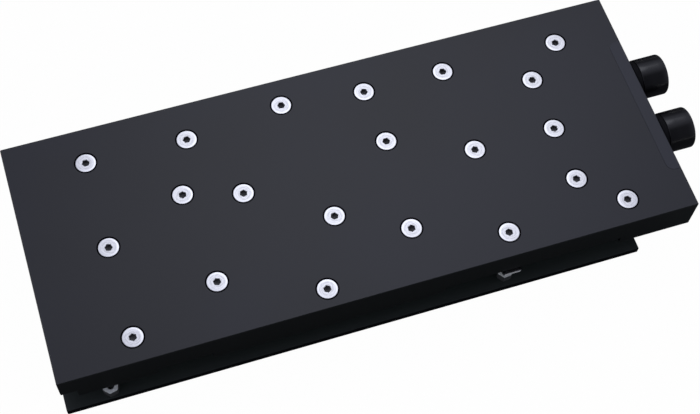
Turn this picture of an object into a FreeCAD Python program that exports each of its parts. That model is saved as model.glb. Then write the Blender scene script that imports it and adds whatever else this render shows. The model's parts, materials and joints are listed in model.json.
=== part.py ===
import FreeCAD
import Part
import Sketcher
import os

# Liquid cooling cold plate for a full length accelerator card.
#
# A black acetal cover is screwed onto a nickel plated copper cold plate. Coolant comes in
# through a G1/4 fitting on the port end, runs along a channel milled in the cover, crosses
# the fin field over the processor, loops round the memory and leaves by the second fitting.
# A black backplate lies on the other side of the card, whose own thickness is left free
# between the hex standoffs and the posts of the cold plate.
#
# Every object is drawn in plan from the cover's left front corner (X along the length,
# Y across it) and in height from the face that the backplate rests on. The placement of
# each sub-part then puts the row's origin under the centre of the processor.

SIZES = {
    # cover
    "cover_thickness": 15.5,
    "cover_edge_break": 0.3,
    "skirt_wall": 4.0,
    "skirt_end": 24.0,
    "port_block": 18.0,
    "seat_corner": 4.0,
    "end_step_length": 6.1,
    "end_step_wall": 10.4,
    "left_relief_start": 35.9,
    "left_relief_length": 21.0,
    "left_relief_wall": 11.6,
    "power_relief_inset": 102.0,
    "power_relief_length": 72.2,
    "power_relief_wall": 12.0,
    "port_pad_width": 61.4,
    "port_pad_length": 5.0,
    "port_pad_rise": 0.1,
    "port_pad_corner": 3.0,
    # processor centre from the cover's left and front edges, and on to its other two
    "gpu_x": 114.0,
    "gpu_y": 60.0,
    "port_side": 136.0,
    "back_side": 40.0,
    # stack under the cover
    "backplate_thickness": 3.0,
    "standoff_height": 3.6,
    "card_gap": 1.6,
    "post_height": 2.8,
    # cold plate
    "plate_thickness": 3.5,
    "plate_clearance": 0.2,
    "lug_lead": 2.7,
    "lug_length": 7.6,
    "lug_overhang": 0.5,
    "lug_thickness": 1.2,
    "lug_corner": 0.8,
    "pedestal_side": 36.0,
    "pedestal_rise": 0.4,
    "chip_length": 12.0,
    "chip_width": 14.0,
    "chip_rise": 0.9,
    "choke_inset": 64.0,
    "choke_length": 12.0,
    "choke_margin": 17.5,
    "choke_depth": 1.0,
    # coolant path
    "channel_width": 8.0,
    "channel_depth": 6.0,
    "chamber_length": 46.0,
    "chamber_width": 34.0,
    "chamber_corner": 4.0,
    "seal_land": 1.2,
    "groove_width": 2.0,
    "groove_depth": 1.5,
    "seal_clearance": 0.1,
    "fin_length": 34.0,
    "fin_thickness": 0.6,
    "fin_pitch": 1.2,
    "fin_side_gap": 0.7,
    "fin_pocket_depth": 2.0,
    "fin_height": 3.5,
    "bridge_thickness": 0.5,
    "bridge_gasket_thickness": 0.8,
    "bridge_gasket_rim": 3.0,
    # ports and fittings, G1/4
    "port_pitch": 26.2,
    "port_shift": 0.2,
    "port_drop": 7.75,
    "thread_major": 13.16,
    "thread_fit": 0.05,
    "thread_depth": 12.0,
    "passage_bore": 7.0,
    "mouth_inset": 34.0,
    "fitting_diameter": 16.6,
    "fitting_length": 11.0,
    "fitting_edge": 0.5,
    "spigot_length": 9.0,
    "fitting_bore": 8.0,
    "socket_depth": 7.0,
    "fitting_hex": 9.0,
    "fitting_hex_depth": 2.0,
    "port_seal_thickness": 2.2,
    "port_seal_inset": 0.15,
    "port_seal_edge": 0.5,
    # M4 cover screws
    "cover_screw_diameter": 4.0,
    "cover_screw_head": 7.8,
    "cover_screw_land": 0.5,
    "cover_screw_sink": 0.1,
    "cover_screw_length": 15.0,
    "cover_screw_clearance": 0.25,
    "cover_screw_hex": 2.5,
    "cover_screw_hex_depth": 1.6,
    # M2.5 card screws, standoffs and posts
    "card_screw_diameter": 2.5,
    "card_screw_head": 4.7,
    "card_screw_land": 0.2,
    "card_screw_length": 12.0,
    "card_screw_clearance": 0.2,
    "card_screw_hex": 1.5,
    "card_screw_hex_depth": 0.9,
    "bracket_screw_length": 5.0,
    "standoff_hex": 5.5,
    "clamp_standoff_turn": 7.0,
    "bracket_standoff_turn": 13.5,
    "gpu_post_pitch": 45.0,
    "post_diameter": 4.6,
    "post_stud_diameter": 3.6,
    "post_stud_length": 1.0,
    "bore_fit": 0.02,
    # locating pins
    "pin_diameter": 3.0,
    "pin_plate_depth": 2.3,
    "pin_cover_depth": 5.0,
    "pin_end_gap": 0.2,
    # backplate
    "backplate_port_inset": 20.2,
    "backplate_back_inset": 1.7,
    "backplate_overhang": 1.85,
    "backplate_corner": 0.5,
    "backplate_edge_break": 0.3,
    # thermal pads
    "gpu_pad_side": 30.0,
    "gpu_pad_thickness": 0.25,
    "chip_pad_thickness": 1.0,
    "vrm_pad_length": 7.0,
    "vrm_pad_margin": 22.5,
    "vrm_pad_thickness": 1.5,
    "choke_pad_margin": 1.0,
    "choke_pad_thickness": 2.0,
    "back_pad_length": 60.0,
    "back_pad_width": 12.0,
    "back_pad_thickness": 2.4,
    "back_pad_clearance": 0.75,
    "back_pad_back": 2.0,
    "vrm_end": 50.0,
    "vrm_power": 46.0,
    # rows and columns that several cover screws share
    "front_row": 10.0,
    "back_row_inset": 15.0,
    "end_column": 30.2,
    "power_inset": 74.3,
    "header_inset": 41.1,
    "port_inset": 25.6,
    "header_pitch": 23.5,
}

# Lines that follow from the sizes, usable in every formula.
DERIVED = {
    "cover_length": "gpu_x + port_side",
    "cover_width": "gpu_y + back_side",
    "back_row": "cover_width - back_row_inset",
    "middle_row": "0.5 * (front_row + back_row)",
    "power_column": "cover_length - power_inset",
    "header_column": "cover_length - header_inset",
    "port_column": "cover_length - port_inset",
    "mouth_x": "cover_length - mouth_inset",
    "inlet_y": "0.5 * (cover_width + port_pitch) - port_shift",
    "outlet_y": "0.5 * (cover_width - port_pitch) - port_shift",
    "choke_start": "cover_length - choke_inset",
    "choke_width": "cover_width - 2 * choke_margin",
    "vrm_pad_width": "cover_width - 2 * vrm_pad_margin",
    "fin_count": "floor((chamber_width - 2 * fin_side_gap) / fin_pitch)",
}

# Places that stand alone: what X is counted from, X, what Y is counted from, Y.
LONE_SCREWS = {
    "gpu_back": ("gpu", -4.7, "back", -11.6),
    "gpu_right": ("gpu", 29.8, "gpu", 1.0),
    "gpu_front": ("gpu", 0.6, "gpu", -24.3),
    "gpu_left": ("gpu", -29.6, "gpu", -5.0),
    "loop_inner": ("left", 62.1, "gpu", 1.0),
    "loop_front": ("left", 65.0, "gpu", -37.7),
    "loop_back": ("gpu", -44.2, "gpu", 24.0),
    "memory_front": ("gpu", -11.0, "front", 7.7),
    "memory_right": ("gpu", 26.9, "gpu", -37.7),
    "memory_back": ("gpu", 28.5, "gpu", 25.0),
}
# Turns of the two channels' middle lines.
CHANNEL_TURNS = {
    "inlet_entry": ("gpu", 20.0, "gpu", 10.0),
    "return_exit": ("gpu", -20.0, "gpu", 10.0),
    "return_start": ("gpu", -30.0, "gpu", 12.5),
    "loop_top": ("left", 50.0, "gpu", 12.5),
    "loop_upper": ("left", 44.5, "gpu", 7.0),
    "loop_lower": ("left", 44.5, "gpu", -15.0),
    "loop_bottom": ("left", 50.0, "gpu", -20.5),
    "return_turn": ("gpu", -36.0, "gpu", -20.5),
    "return_drop": ("gpu", -22.0, "gpu", -32.0),
    "return_level": ("gpu", 36.0, "gpu", -24.0),
}
# Screws that clamp backplate, card and cold plate, with a post above each.
CARD_SCREWS = {
    "post_lug": ("port", -75.75, "front", 3.3),
    "post_power_back": ("port", -76.9, "back", -8.0),
    "post_end_front": ("left", 44.0, "front", 8.0),
    "post_end_back": ("left", 44.0, "back", -8.0),
    "post_port_front": ("port", -36.0, "front", 8.0),
    "post_port_back": ("port", -36.0, "back", -8.0),
}
BRACKET_STANDOFFS = {
    "bracket_front": ("left", 17.7, "front", 2.0),
    "bracket_back": ("left", 16.3, "back", -7.0),
}
PINS = {
    "pin_back": ("left", 56.0, "back", -10.0),
    "pin_front": ("port", -58.0, "front", 8.0),
}
CHIPS = {
    "chip_left_front": ("gpu", -34.0, "gpu", -20.0),
    "chip_left_back": ("gpu", -34.0, "gpu", 15.0),
    "chip_right_front": ("gpu", 38.0, "gpu", -18.0),
    "chip_right_back": ("gpu", 38.0, "gpu", 16.0),
    "chip_row_first": ("gpu", -30.0, "gpu", -40.0),
    "chip_row_second": ("gpu", -14.5, "gpu", -40.0),
    "chip_row_third": ("gpu", 1.0, "gpu", -40.0),
    "chip_row_fourth": ("gpu", 16.5, "gpu", -40.0),
}
START_X = {"left": "0", "gpu": "gpu_x", "port": "cover_length"}
START_Y = {"front": "0", "gpu": "gpu_y", "back": "cover_width"}


doc = FreeCAD.newDocument("cold_plate")
dims = doc.addObject("Spreadsheet::Sheet", "dims")


def fill_sheet():
    """Write every driving size into the sheet, one alias a row."""
    cells = dict(SIZES)
    for places in (LONE_SCREWS, CHANNEL_TURNS, CARD_SCREWS, BRACKET_STANDOFFS, PINS, CHIPS):
        for name, (_, x, _, y) in places.items():
            cells[name + "_x"] = x
            cells[name + "_y"] = y
    for row, (name, value) in enumerate(cells.items(), start=1):
        dims.set("A%d" % row, name)
        dims.set("B%d" % row, str(value))
        dims.setAlias("B%d" % row, name)
    doc.recompute()


def expand(text):
    """Turn a formula of bare aliases and derived names into one of the sheet's cells."""
    out = ""
    word = ""
    for char in text + " ":
        if char.isalnum() or char == "_":
            word += char
            continue
        if word in DERIVED:
            word = "(%s)" % expand(DERIVED[word])
        elif word and word[0].isalpha() and word not in FUNCTIONS:
            word = "dims." + word
        out += word + char
        word = ""
    return out.strip()


FUNCTIONS = ("floor", "sqrt", "cos", "sin", "tan", "min", "max")


def size(text):
    """Value of a formula of the sheet's aliases, for the shapes that Part builds."""
    return float(dims.evalExpression(expand(text)))


def bind(target, prop, text):
    """Tie a property of an object to a formula of the sheet's aliases."""
    target.setExpression(prop, expand(text))


def at(places):
    """Formulas for the X and Y of each place in a dictionary, in the order it lists them."""
    return [
        ("%s + %s_x" % (START_X[across], name), "%s + %s_y" % (START_Y[along], name))
        for name, (across, _, along, _) in places.items()]


def between(first, second):
    """Formulas for the point halfway between two places."""
    return tuple("0.5 * (%s + %s)" % pair for pair in zip(first, second))


# Levels above the face that the backplate rests on, as formulas.
CARD_LOW = "backplate_thickness + standoff_height"
CARD_HIGH = "(%s + card_gap)" % CARD_LOW
PLATE_LOW = "(%s + post_height)" % CARD_HIGH
PLATE_TOP = "(%s + plate_thickness)" % PLATE_LOW
COVER_TOP = "(%s + cover_thickness)" % PLATE_LOW
PORT_LEVEL = "(%s - port_drop)" % COVER_TOP
FIN_TOP = "(%s - fin_pocket_depth + fin_height)" % PLATE_TOP
BRIDGE_TOP = "(%s + bridge_thickness)" % FIN_TOP
GASKET_TOP = "(%s + bridge_gasket_thickness)" % BRIDGE_TOP

COVER_SCREWS = (
    [("end_column", row) for row in ("front_row", "middle_row", "back_row")]
    + [("power_column", row) for row in ("front_row", "middle_row", "back_row")]
    + [("port_column", row) for row in ("front_row", "back_row")]
    + [("header_column", "middle_row + %d * header_pitch" % step) for step in (-1, 0, 1)]
    + at(LONE_SCREWS)
)
GPU_POSTS = [
    ("gpu_x + %s * gpu_post_pitch" % across, "gpu_y + %s * gpu_post_pitch" % along)
    for across in ("-0.5", "0.5")
    for along in ("-0.5", "0.5")
]
CLAMP_POINTS = at(CARD_SCREWS) + GPU_POSTS

# Middle lines of the two channels. The inlet runs from its port between the screws to the
# right hand side of the fin chamber. The return leaves on the left, loops round the memory
# and passes midway between the screws that it meets on its way back.
SCREW = dict(zip(LONE_SCREWS, at(LONE_SCREWS)))
TURN = dict(zip(CHANNEL_TURNS, at(CHANNEL_TURNS)))
INLET_LINE = [
    ("mouth_x", "inlet_y"),
    ("header_column", "middle_row + 0.5 * header_pitch"),
    ("power_column", "0.5 * (middle_row + back_row)"),
    between(SCREW["gpu_right"], SCREW["memory_back"]),
    TURN["inlet_entry"],
]
RETURN_LINE = [
    TURN["return_exit"],
    TURN["return_start"],
    TURN["loop_top"],
    TURN["loop_upper"],
    TURN["loop_lower"],
    TURN["loop_bottom"],
    TURN["return_turn"],
    TURN["return_drop"],
    between(SCREW["gpu_front"], SCREW["memory_front"]),
    between(SCREW["gpu_front"], SCREW["memory_right"]),
    TURN["return_level"],
    ("header_column", "middle_row - 0.5 * header_pitch"),
    ("mouth_x", "outlet_y"),
]


# Sketches and features ------------------------------------------------------------------

def new_body(name):
    """A PartDesign body."""
    return doc.addObject("PartDesign::Body", name)


def new_sketch(body, name, level, role="XY_Plane"):
    """A sketch of the body on one of its origin planes, moved along the plane's normal."""
    sketch = body.newObject("Sketcher::SketchObject", name)
    support = next(item for item in body.Origin.OriginFeatures if item.Role == role)
    sketch.AttachmentSupport = (support, [""])
    sketch.MapMode = "FlatFace"
    bind(sketch, "AttachmentOffset.Base.z", level)
    return sketch


def constrain(sketch, name, kind, *args):
    """Add a constraint whose last argument is a formula, under a name of its own."""
    index = sketch.addConstraint(Sketcher.Constraint(kind, *args[:-1], size(args[-1])))
    sketch.renameConstraint(index, name)
    bind(sketch, "Constraints." + name, args[-1])


def draw_rectangle(sketch, left, front, length, width):
    """A rectangle by its left front corner and its two sides."""
    first = sketch.GeometryCount
    x, y = size(left), size(front)
    far_x, far_y = x + size(length), y + size(width)
    corners = [(x, y), (far_x, y), (far_x, far_y), (x, far_y)]
    points = [FreeCAD.Vector(px, py, 0) for px, py in corners]
    for side in range(4):
        sketch.addGeometry(Part.LineSegment(points[side], points[(side + 1) % 4]))
    for side in range(4):
        sketch.addConstraint(Sketcher.Constraint("Coincident", first + side, 2, first + (side + 1) % 4, 1))
        direction = "Horizontal" if side % 2 == 0 else "Vertical"
        sketch.addConstraint(Sketcher.Constraint(direction, first + side))
    tag = "side%d" % first
    constrain(sketch, tag + "left", "DistanceX", -1, 1, first, 1, left)
    constrain(sketch, tag + "front", "DistanceY", -1, 1, first, 1, front)
    constrain(sketch, tag + "length", "DistanceX", first, 1, first, 2, length)
    constrain(sketch, tag + "width", "DistanceY", first + 1, 1, first + 1, 2, width)


def draw_circle(sketch, x, y, diameter):
    """A circle by its centre and diameter."""
    index = sketch.GeometryCount
    centre = FreeCAD.Vector(size(x), size(y), 0)
    sketch.addGeometry(Part.Circle(centre, FreeCAD.Vector(0, 0, 1), size(diameter) / 2))
    tag = "hole%d" % index
    constrain(sketch, tag + "diameter", "Diameter", index, diameter)
    constrain(sketch, tag + "across", "DistanceX", -1, 1, index, 3, x)
    constrain(sketch, tag + "along", "DistanceY", -1, 1, index, 3, y)


def pad(body, sketch, name, length):
    """Raise a sketch along its normal."""
    feature = body.newObject("PartDesign::Pad", name)
    feature.Profile = sketch
    bind(feature, "Length", length)
    doc.recompute()
    return feature


def pocket(body, sketch, name, depth, along_normal=True):
    """Cut a sketch into the body, by default the way the sketch's normal points.

    The volume has to fall: a pocket that points away from the solid cuts nothing.
    """
    before = body.Shape.Volume
    feature = body.newObject("PartDesign::Pocket", name)
    feature.Profile = sketch
    feature.Reversed = along_normal
    bind(feature, "Length", depth)
    doc.recompute()
    if body.Shape.Volume > before - 0.01:
        raise RuntimeError("%s cuts nothing" % name)
    return feature


def edges_where(feature, test):
    """Names of the feature's edges whose bounding box passes a test."""
    found = []
    for number, edge in enumerate(feature.Shape.Edges, start=1):
        if test(edge.BoundBox):
            found.append("Edge%d" % number)
    return found


def upright(box, low, high):
    """Whether an edge's box is a vertical line between two levels."""
    return max(box.XLength, box.YLength) < 1e-6 and abs(box.ZMin - low) < 1e-6 and abs(box.ZMax - high) < 1e-6


def round_edges(body, base, name, test, radius):
    """Fillet the edges of a feature that pass a test."""
    feature = body.newObject("PartDesign::Fillet", name)
    feature.Base = (base, edges_where(base, test))
    bind(feature, "Radius", radius)
    doc.recompute()
    return feature


def break_edges(body, base, name, test, width):
    """Chamfer the edges of a feature that pass a test."""
    feature = body.newObject("PartDesign::Chamfer", name)
    feature.Base = (base, edges_where(base, test))
    bind(feature, "Size", width)
    doc.recompute()
    return feature


def drill(body, name, places, level, diameter, depth=None, head=None, from_below=False):
    """Drilled holes at a list of places, blind where a depth is given, countersunk with a head."""
    sketch = new_sketch(body, name + "_centres", level)
    for x, y in places:
        draw_circle(sketch, x, y, diameter)
    doc.recompute()
    before = body.Shape.Volume
    hole = body.newObject("PartDesign::Hole", name)
    hole.Profile = sketch
    doc.recompute()
    hole.Reversed = from_below
    hole.DepthType = "ThroughAll" if depth is None else "Dimension"
    hole.DrillPoint = "Flat"
    bind(hole, "Diameter", diameter)
    if depth is not None:
        bind(hole, "Depth", depth)
    if head is not None:
        hole.HoleCutType = "Countersink"
        hole.HoleCutCustomValues = True
        bind(hole, "HoleCutDiameter", head)
        hole.HoleCutCountersinkAngle = 90
    doc.recompute()
    if body.Shape.Volume > before - 0.01:
        raise RuntimeError("%s drills nothing" % name)
    return hole


# Plain solids and booleans --------------------------------------------------------------

def primitive(kind, name, place, **sizes):
    """A Part primitive with its sizes and its corner or centre bound to formulas."""
    item = doc.addObject("Part::" + kind, name)
    for prop, text in sizes.items():
        bind(item, prop, text)
    for axis, text in zip("xyz", place):
        bind(item, "Placement.Base." + axis, text)
    return item


def turn_along_x(item):
    """Lay a primitive's axis along X."""
    item.Placement = FreeCAD.Placement(item.Placement.Base, FreeCAD.Rotation(FreeCAD.Vector(0, 1, 0), 90))
    return item


def bevelled(name, cylinder, width):
    """A cylinder that lies along X with both of its rims bevelled."""
    doc.recompute()
    item = doc.addObject("Part::Chamfer", name)
    item.Base = cylinder
    rims = [
        number for number, edge in enumerate(cylinder.Shape.Edges, start=1)
        if edge.BoundBox.XLength < 1e-6]
    item.Edges = [(number, size(width), size(width)) for number in rims]
    return item


def fused(name, parts):
    """One solid from several that touch or overlap."""
    item = doc.addObject("Part::MultiFuse", name)
    item.Shapes = parts
    item.Refine = True
    return item


def cut(name, base, tool):
    """The base without the tool."""
    item = doc.addObject("Part::Cut", name)
    item.Base = base
    item.Tool = tool
    item.Refine = True
    return item


def shaped(name, shape):
    """A feature whose shape Part's own functions make."""
    item = doc.addObject("Part::Feature", name)
    item.Shape = shape
    return item


def copies(name, template, places):
    """A group of separate solids: one template moved to each place in plan."""
    doc.recompute()
    solids = []
    for x, y in places:
        solid = template.Shape.copy()
        solid.translate(FreeCAD.Vector(size(x), size(y), 0))
        solids.append(solid)
    return shaped(name, Part.makeCompound(solids))


NODES = []


def sub_part(item, label):
    """Give a finished piece its name and bring it into the row's frame.

    A primitive that already has a place keeps it, counted from the processor's centre.
    """
    item.Label = label
    held = {path.lstrip("."): formula for path, formula in item.ExpressionEngine}
    for axis, centre in (("x", "dims.gpu_x"), ("y", "dims.gpu_y")):
        prop = "Placement.Base." + axis
        item.setExpression(prop, "(%s) - %s" % (held.get(prop, "0"), centre))
    NODES.append(item)
    return item


# Coolant path ---------------------------------------------------------------------------

def wet_region(grow, low, height):
    """Solid over the whole coolant path in plan, widened all round by a distance.

    The path is the fin chamber and two channels of even width with round turns, so a
    widened path is the same union made of widened pieces.
    """
    radius = size("channel_width") / 2 + grow
    lift = FreeCAD.Vector(0, 0, low)
    pieces = []
    for line in (INLET_LINE, RETURN_LINE):
        points = [FreeCAD.Vector(size(x), size(y), 0) + lift for x, y in line]
        for point in points:
            pieces.append(Part.makeCylinder(radius, height, point))
        for start, stop in zip(points, points[1:]):
            side = (stop - start).normalize().cross(FreeCAD.Vector(0, 0, 1)) * radius
            ring = [start + side, stop + side, stop - side, start - side, start + side]
            pieces.append(Part.Face(Part.makePolygon(ring)).extrude(FreeCAD.Vector(0, 0, height)))
    length = size("chamber_length") + 2 * grow
    width = size("chamber_width") + 2 * grow
    corner = FreeCAD.Vector(size("gpu_x") - length / 2, size("gpu_y") - width / 2, low)
    chamber = Part.makeBox(length, width, height, corner)
    posts = [edge for edge in chamber.Edges if upright(edge.BoundBox, low, low + height)]
    pieces.append(chamber.makeFillet(size("chamber_corner") + grow, posts))
    return pieces[0].fuse(pieces[1:]).removeSplitter()


def seal_ring(clearance, low, height):
    """Band that follows the coolant path just outside it, with a clearance on both sides."""
    inner = size("seal_land") + clearance
    outer = size("seal_land + groove_width") - clearance
    return wet_region(outer, low, height).cut(wet_region(inner, low, height))


def block_over_fins(low, high):
    """Box over the fin field's length and past the chamber's width, between two levels."""
    length = size("fin_length")
    width = size("chamber_width + 2 * chamber_corner")
    corner = FreeCAD.Vector(size("gpu_x") - length / 2, size("gpu_y") - width / 2, low)
    return Part.makeBox(length, width, high - low, corner)


# Sub-parts ------------------------------------------------------------------------------

def make_cover():
    """Acetal cover: seat for the cold plate, channels, ports, countersinks and reliefs."""
    body = new_body("cover_body")
    outline = new_sketch(body, "cover_outline", PLATE_LOW)
    draw_rectangle(outline, "0", "0", "cover_length", "cover_width")
    blank = pad(body, outline, "cover_blank", "cover_thickness")
    low, top = size(PLATE_LOW), size(COVER_TOP)
    break_edges(
        body, blank, "cover_edges",
        lambda box: abs(box.ZMin - top) < 1e-6 or upright(box, low, top),
        "cover_edge_break")

    boss = new_sketch(body, "port_pad_outline", COVER_TOP)
    draw_rectangle(
        boss, "cover_length - port_pad_length - cover_edge_break",
        "middle_row - 0.5 * port_pad_width",
        "port_pad_length", "port_pad_width")
    raised = pad(body, boss, "port_pad", "port_pad_rise")
    inner_x = size("cover_length - port_pad_length - cover_edge_break")
    round_edges(
        body, raised, "port_pad_corners",
        lambda box: upright(box, top, top + size("port_pad_rise")) and abs(box.XMin - inner_x) < 1e-6,
        "port_pad_corner")

    seat = new_sketch(body, "plate_seat_outline", PLATE_LOW)
    draw_rectangle(
        seat, "skirt_end", "skirt_wall", "cover_length - skirt_end - port_block",
        "cover_width - 2 * skirt_wall")
    seat_cut = pocket(body, seat, "plate_seat", "plate_thickness")
    seat_top = size(PLATE_TOP)
    round_edges(
        body, seat_cut, "plate_seat_corners",
        lambda box: upright(box, low, seat_top), "seat_corner")

    step = new_sketch(body, "end_step_outline", PLATE_LOW)
    draw_rectangle(step, "0", "0", "end_step_length", "cover_width")
    pocket(body, step, "end_step", "cover_thickness - end_step_wall")
    for side, start in (("left", "left_relief_start"), ("power", "cover_length - power_relief_inset")):
        relief = new_sketch(body, side + "_relief_outline", PLATE_LOW)
        draw_rectangle(relief, start, "0", side + "_relief_length", "skirt_wall")
        pocket(body, relief, side + "_relief", "cover_thickness - %s_relief_wall" % side)

    for port in ("inlet", "outlet"):
        mouth = new_sketch(body, port + "_thread_circle", "cover_length", "YZ_Plane")
        draw_circle(mouth, port + "_y", PORT_LEVEL, "thread_major")
        pocket(body, mouth, port + "_thread", "thread_depth", along_normal=False)
        passage = new_sketch(body, port + "_passage_circle", "cover_length - thread_depth", "YZ_Plane")
        draw_circle(passage, port + "_y", PORT_LEVEL, "passage_bore")
        pocket(body, passage, port + "_passage", "cover_length - thread_depth - mouth_x", along_normal=False)

    drill(
        body, "screw_countersinks", COVER_SCREWS, COVER_TOP,
        "cover_screw_diameter + 2 * cover_screw_clearance",
        head="cover_screw_head + 2 * (cover_screw_land + cover_screw_sink)")
    drill(
        body, "cover_pin_holes", at(PINS), PLATE_TOP, "pin_diameter + 2 * bore_fit",
        depth="pin_cover_depth", from_below=True)

    low = size(PLATE_TOP)
    depth = size("channel_depth")
    water = wet_region(0, low, depth).cut(block_over_fins(size(GASKET_TOP), low + depth))
    cover = cut("cover", body, shaped("cover_channels", water))
    return sub_part(cover, "top_cover")


def make_cold_plate():
    """Copper plate: fins over the processor, pedestals under it, seal groove and tapped holes."""
    body = new_body("plate_body")
    outline = new_sketch(body, "plate_outline", PLATE_LOW)
    draw_rectangle(
        outline, "skirt_end + plate_clearance", "skirt_wall + plate_clearance",
        "cover_length - skirt_end - port_block - 2 * plate_clearance",
        "cover_width - 2 * skirt_wall - 2 * plate_clearance")
    blank = pad(body, outline, "plate_blank", "plate_thickness")
    low, top = size(PLATE_LOW), size(PLATE_TOP)
    round_edges(
        body, blank, "plate_corners",
        lambda box: upright(box, low, top), "seat_corner - plate_clearance")

    tongue = new_sketch(body, "lug_outline", PLATE_LOW)
    draw_rectangle(
        tongue, "cover_length + post_lug_x - lug_lead", "-lug_overhang", "lug_length",
        "lug_overhang + 2 * skirt_wall")
    lug = pad(body, tongue, "lug", "lug_thickness")
    front = -size("lug_overhang")
    round_edges(
        body, lug, "lug_corners",
        lambda box: upright(box, low, low + size("lug_thickness")) and abs(box.YMin - front) < 1e-6,
        "lug_corner")

    pedestal = new_sketch(body, "pedestal_outline", PLATE_LOW + " - pedestal_rise")
    draw_rectangle(
        pedestal, "gpu_x - 0.5 * pedestal_side", "gpu_y - 0.5 * pedestal_side",
        "pedestal_side", "pedestal_side")
    pad(body, pedestal, "pedestal", "pedestal_rise")
    chips = new_sketch(body, "chip_outlines", PLATE_LOW + " - chip_rise")
    for x, y in at(CHIPS):
        draw_rectangle(
            chips, x + " - 0.5 * chip_length", y + " - 0.5 * chip_width", "chip_length", "chip_width")
    pad(body, chips, "chip_pedestals", "chip_rise")
    choke = new_sketch(body, "choke_outline", PLATE_LOW)
    draw_rectangle(choke, "choke_start", "choke_margin", "choke_length", "choke_width")
    pocket(body, choke, "choke_recess", "choke_depth")

    chamber = new_sketch(body, "fin_pocket_outline", PLATE_TOP)
    draw_rectangle(
        chamber, "gpu_x - 0.5 * chamber_length", "gpu_y - 0.5 * chamber_width",
        "chamber_length", "chamber_width")
    hollow = pocket(body, chamber, "fin_pocket", "fin_pocket_depth", along_normal=False)
    floor = size(PLATE_TOP + " - fin_pocket_depth")
    round_edges(
        body, hollow, "fin_pocket_corners",
        lambda box: upright(box, floor, top), "chamber_corner")
    drill(
        body, "cover_screw_taps", COVER_SCREWS, PLATE_TOP,
        "cover_screw_diameter + 2 * bore_fit")
    drill(
        body, "plate_pin_holes", at(PINS), PLATE_TOP, "pin_diameter + 2 * bore_fit",
        depth="pin_plate_depth")
    drill(
        body, "post_stud_taps", CLAMP_POINTS, PLATE_LOW,
        "post_stud_diameter + 2 * bore_fit",
        depth="post_stud_length", from_below=True)

    fin_outline = new_sketch(body, "fin_outline", PLATE_TOP + " - fin_pocket_depth")
    draw_rectangle(
        fin_outline, "gpu_x - 0.5 * fin_length",
        "gpu_y - 0.5 * ((fin_count - 1) * fin_pitch + fin_thickness)",
        "fin_length", "fin_thickness")
    fin = pad(body, fin_outline, "fin", "fin_height")
    field = body.newObject("PartDesign::LinearPattern", "fin_field")
    field.Originals = [fin]
    field.Direction = (fin_outline, ["V_Axis"])
    bind(field, "Length", "(fin_count - 1) * fin_pitch")
    bind(field, "Occurrences", "fin_count")
    body.Tip = field
    doc.recompute()

    groove_low = size(PLATE_TOP + " - groove_depth")
    groove = shaped("seal_groove", seal_ring(0, groove_low, size("groove_depth")))
    return sub_part(cut("cold_plate", body, groove), "cold_plate")


def make_flow_parts():
    """Seal round the coolant path, and the bridge plate and gasket that close the fin tips."""
    clearance = size("seal_clearance")
    groove_low = size(PLATE_TOP + " - groove_depth")
    seal = seal_ring(clearance, groove_low, size("groove_depth"))
    sub_part(shaped("main_seal", seal), "main_seal")

    field_width = "(fin_count * fin_pitch)"
    corner = ("gpu_x - 0.5 * fin_length", "gpu_y - 0.5 * " + field_width)
    bridge = primitive(
        "Box", "bridge", corner + (FIN_TOP,),
        Length="fin_length", Width=field_width, Height="bridge_thickness")
    sub_part(bridge, "fin_bridge_plate")
    frame = primitive(
        "Box", "gasket_frame", corner + (BRIDGE_TOP,),
        Length="fin_length", Width=field_width, Height="bridge_gasket_thickness")
    window = primitive(
        "Box", "gasket_window",
        (corner[0] + " + bridge_gasket_rim", corner[1] + " + bridge_gasket_rim", BRIDGE_TOP),
        Length="fin_length - 2 * bridge_gasket_rim", Width=field_width + " - 2 * bridge_gasket_rim",
        Height="bridge_gasket_thickness")
    sub_part(cut("bridge_gasket", frame, window), "fin_bridge_gasket")


def screw_template(name, base, head, land, shank, length, drive, drive_depth):
    """Countersunk screw with a hexagon socket, head upwards, its tip on the given level.

    The head is a cone with a short straight land above it, round which the countersink gapes.
    """
    cone = "0.5 * (%s - %s)" % (head, shank)
    stem = primitive(
        "Cylinder", name + "_stem", ("0", "0", base), Radius="0.5 * " + shank, Height=length)
    head_cone = primitive(
        "Cone", name + "_head", ("0", "0", "%s + %s - %s - %s" % (base, length, land, cone)),
        Radius1="0.5 * " + shank, Radius2="0.5 * " + head, Height=cone)
    rim = primitive(
        "Cylinder", name + "_rim", ("0", "0", "%s + %s - %s" % (base, length, land)),
        Radius="0.5 * " + head, Height=land)
    socket = primitive(
        "Prism", name + "_socket", ("0", "0", "%s + %s - %s" % (base, length, drive_depth)),
        Circumradius="%s / sqrt(3)" % drive, Height=drive_depth)
    socket.Polygon = 6
    return cut(name, fused(name + "_solid", [stem, head_cone, rim]), socket)


def make_cover_screws():
    """M4 countersunk screws from the cover's top face into the cold plate."""
    base = COVER_TOP + " - cover_screw_sink - cover_screw_length"
    screw = screw_template(
        "cover_screw", base, "cover_screw_head", "cover_screw_land", "cover_screw_diameter",
        "cover_screw_length", "cover_screw_hex", "cover_screw_hex_depth")
    sub_part(copies("cover_screw_set", screw, COVER_SCREWS), "cover_screws")


def make_card_screws():
    """M2.5 countersunk screws from below: long ones into the posts, short ones into standoffs."""
    for name, length, places, label in (
            ("clamp_screw", "card_screw_length", CLAMP_POINTS, "backplate_screws"),
            ("bracket_screw", "bracket_screw_length", at(BRACKET_STANDOFFS), "bracket_screws")):
        screw = screw_template(
            name, "-" + length, "card_screw_head", "card_screw_land", "card_screw_diameter",
            length, "card_screw_hex", "card_screw_hex_depth")
        doc.recompute()
        turned = screw.Shape.copy()
        turned.rotate(FreeCAD.Vector(0, 0, 0), FreeCAD.Vector(1, 0, 0), 180)
        sub_part(copies(name + "_set", shaped(name + "_turned", turned), places), label)


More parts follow.
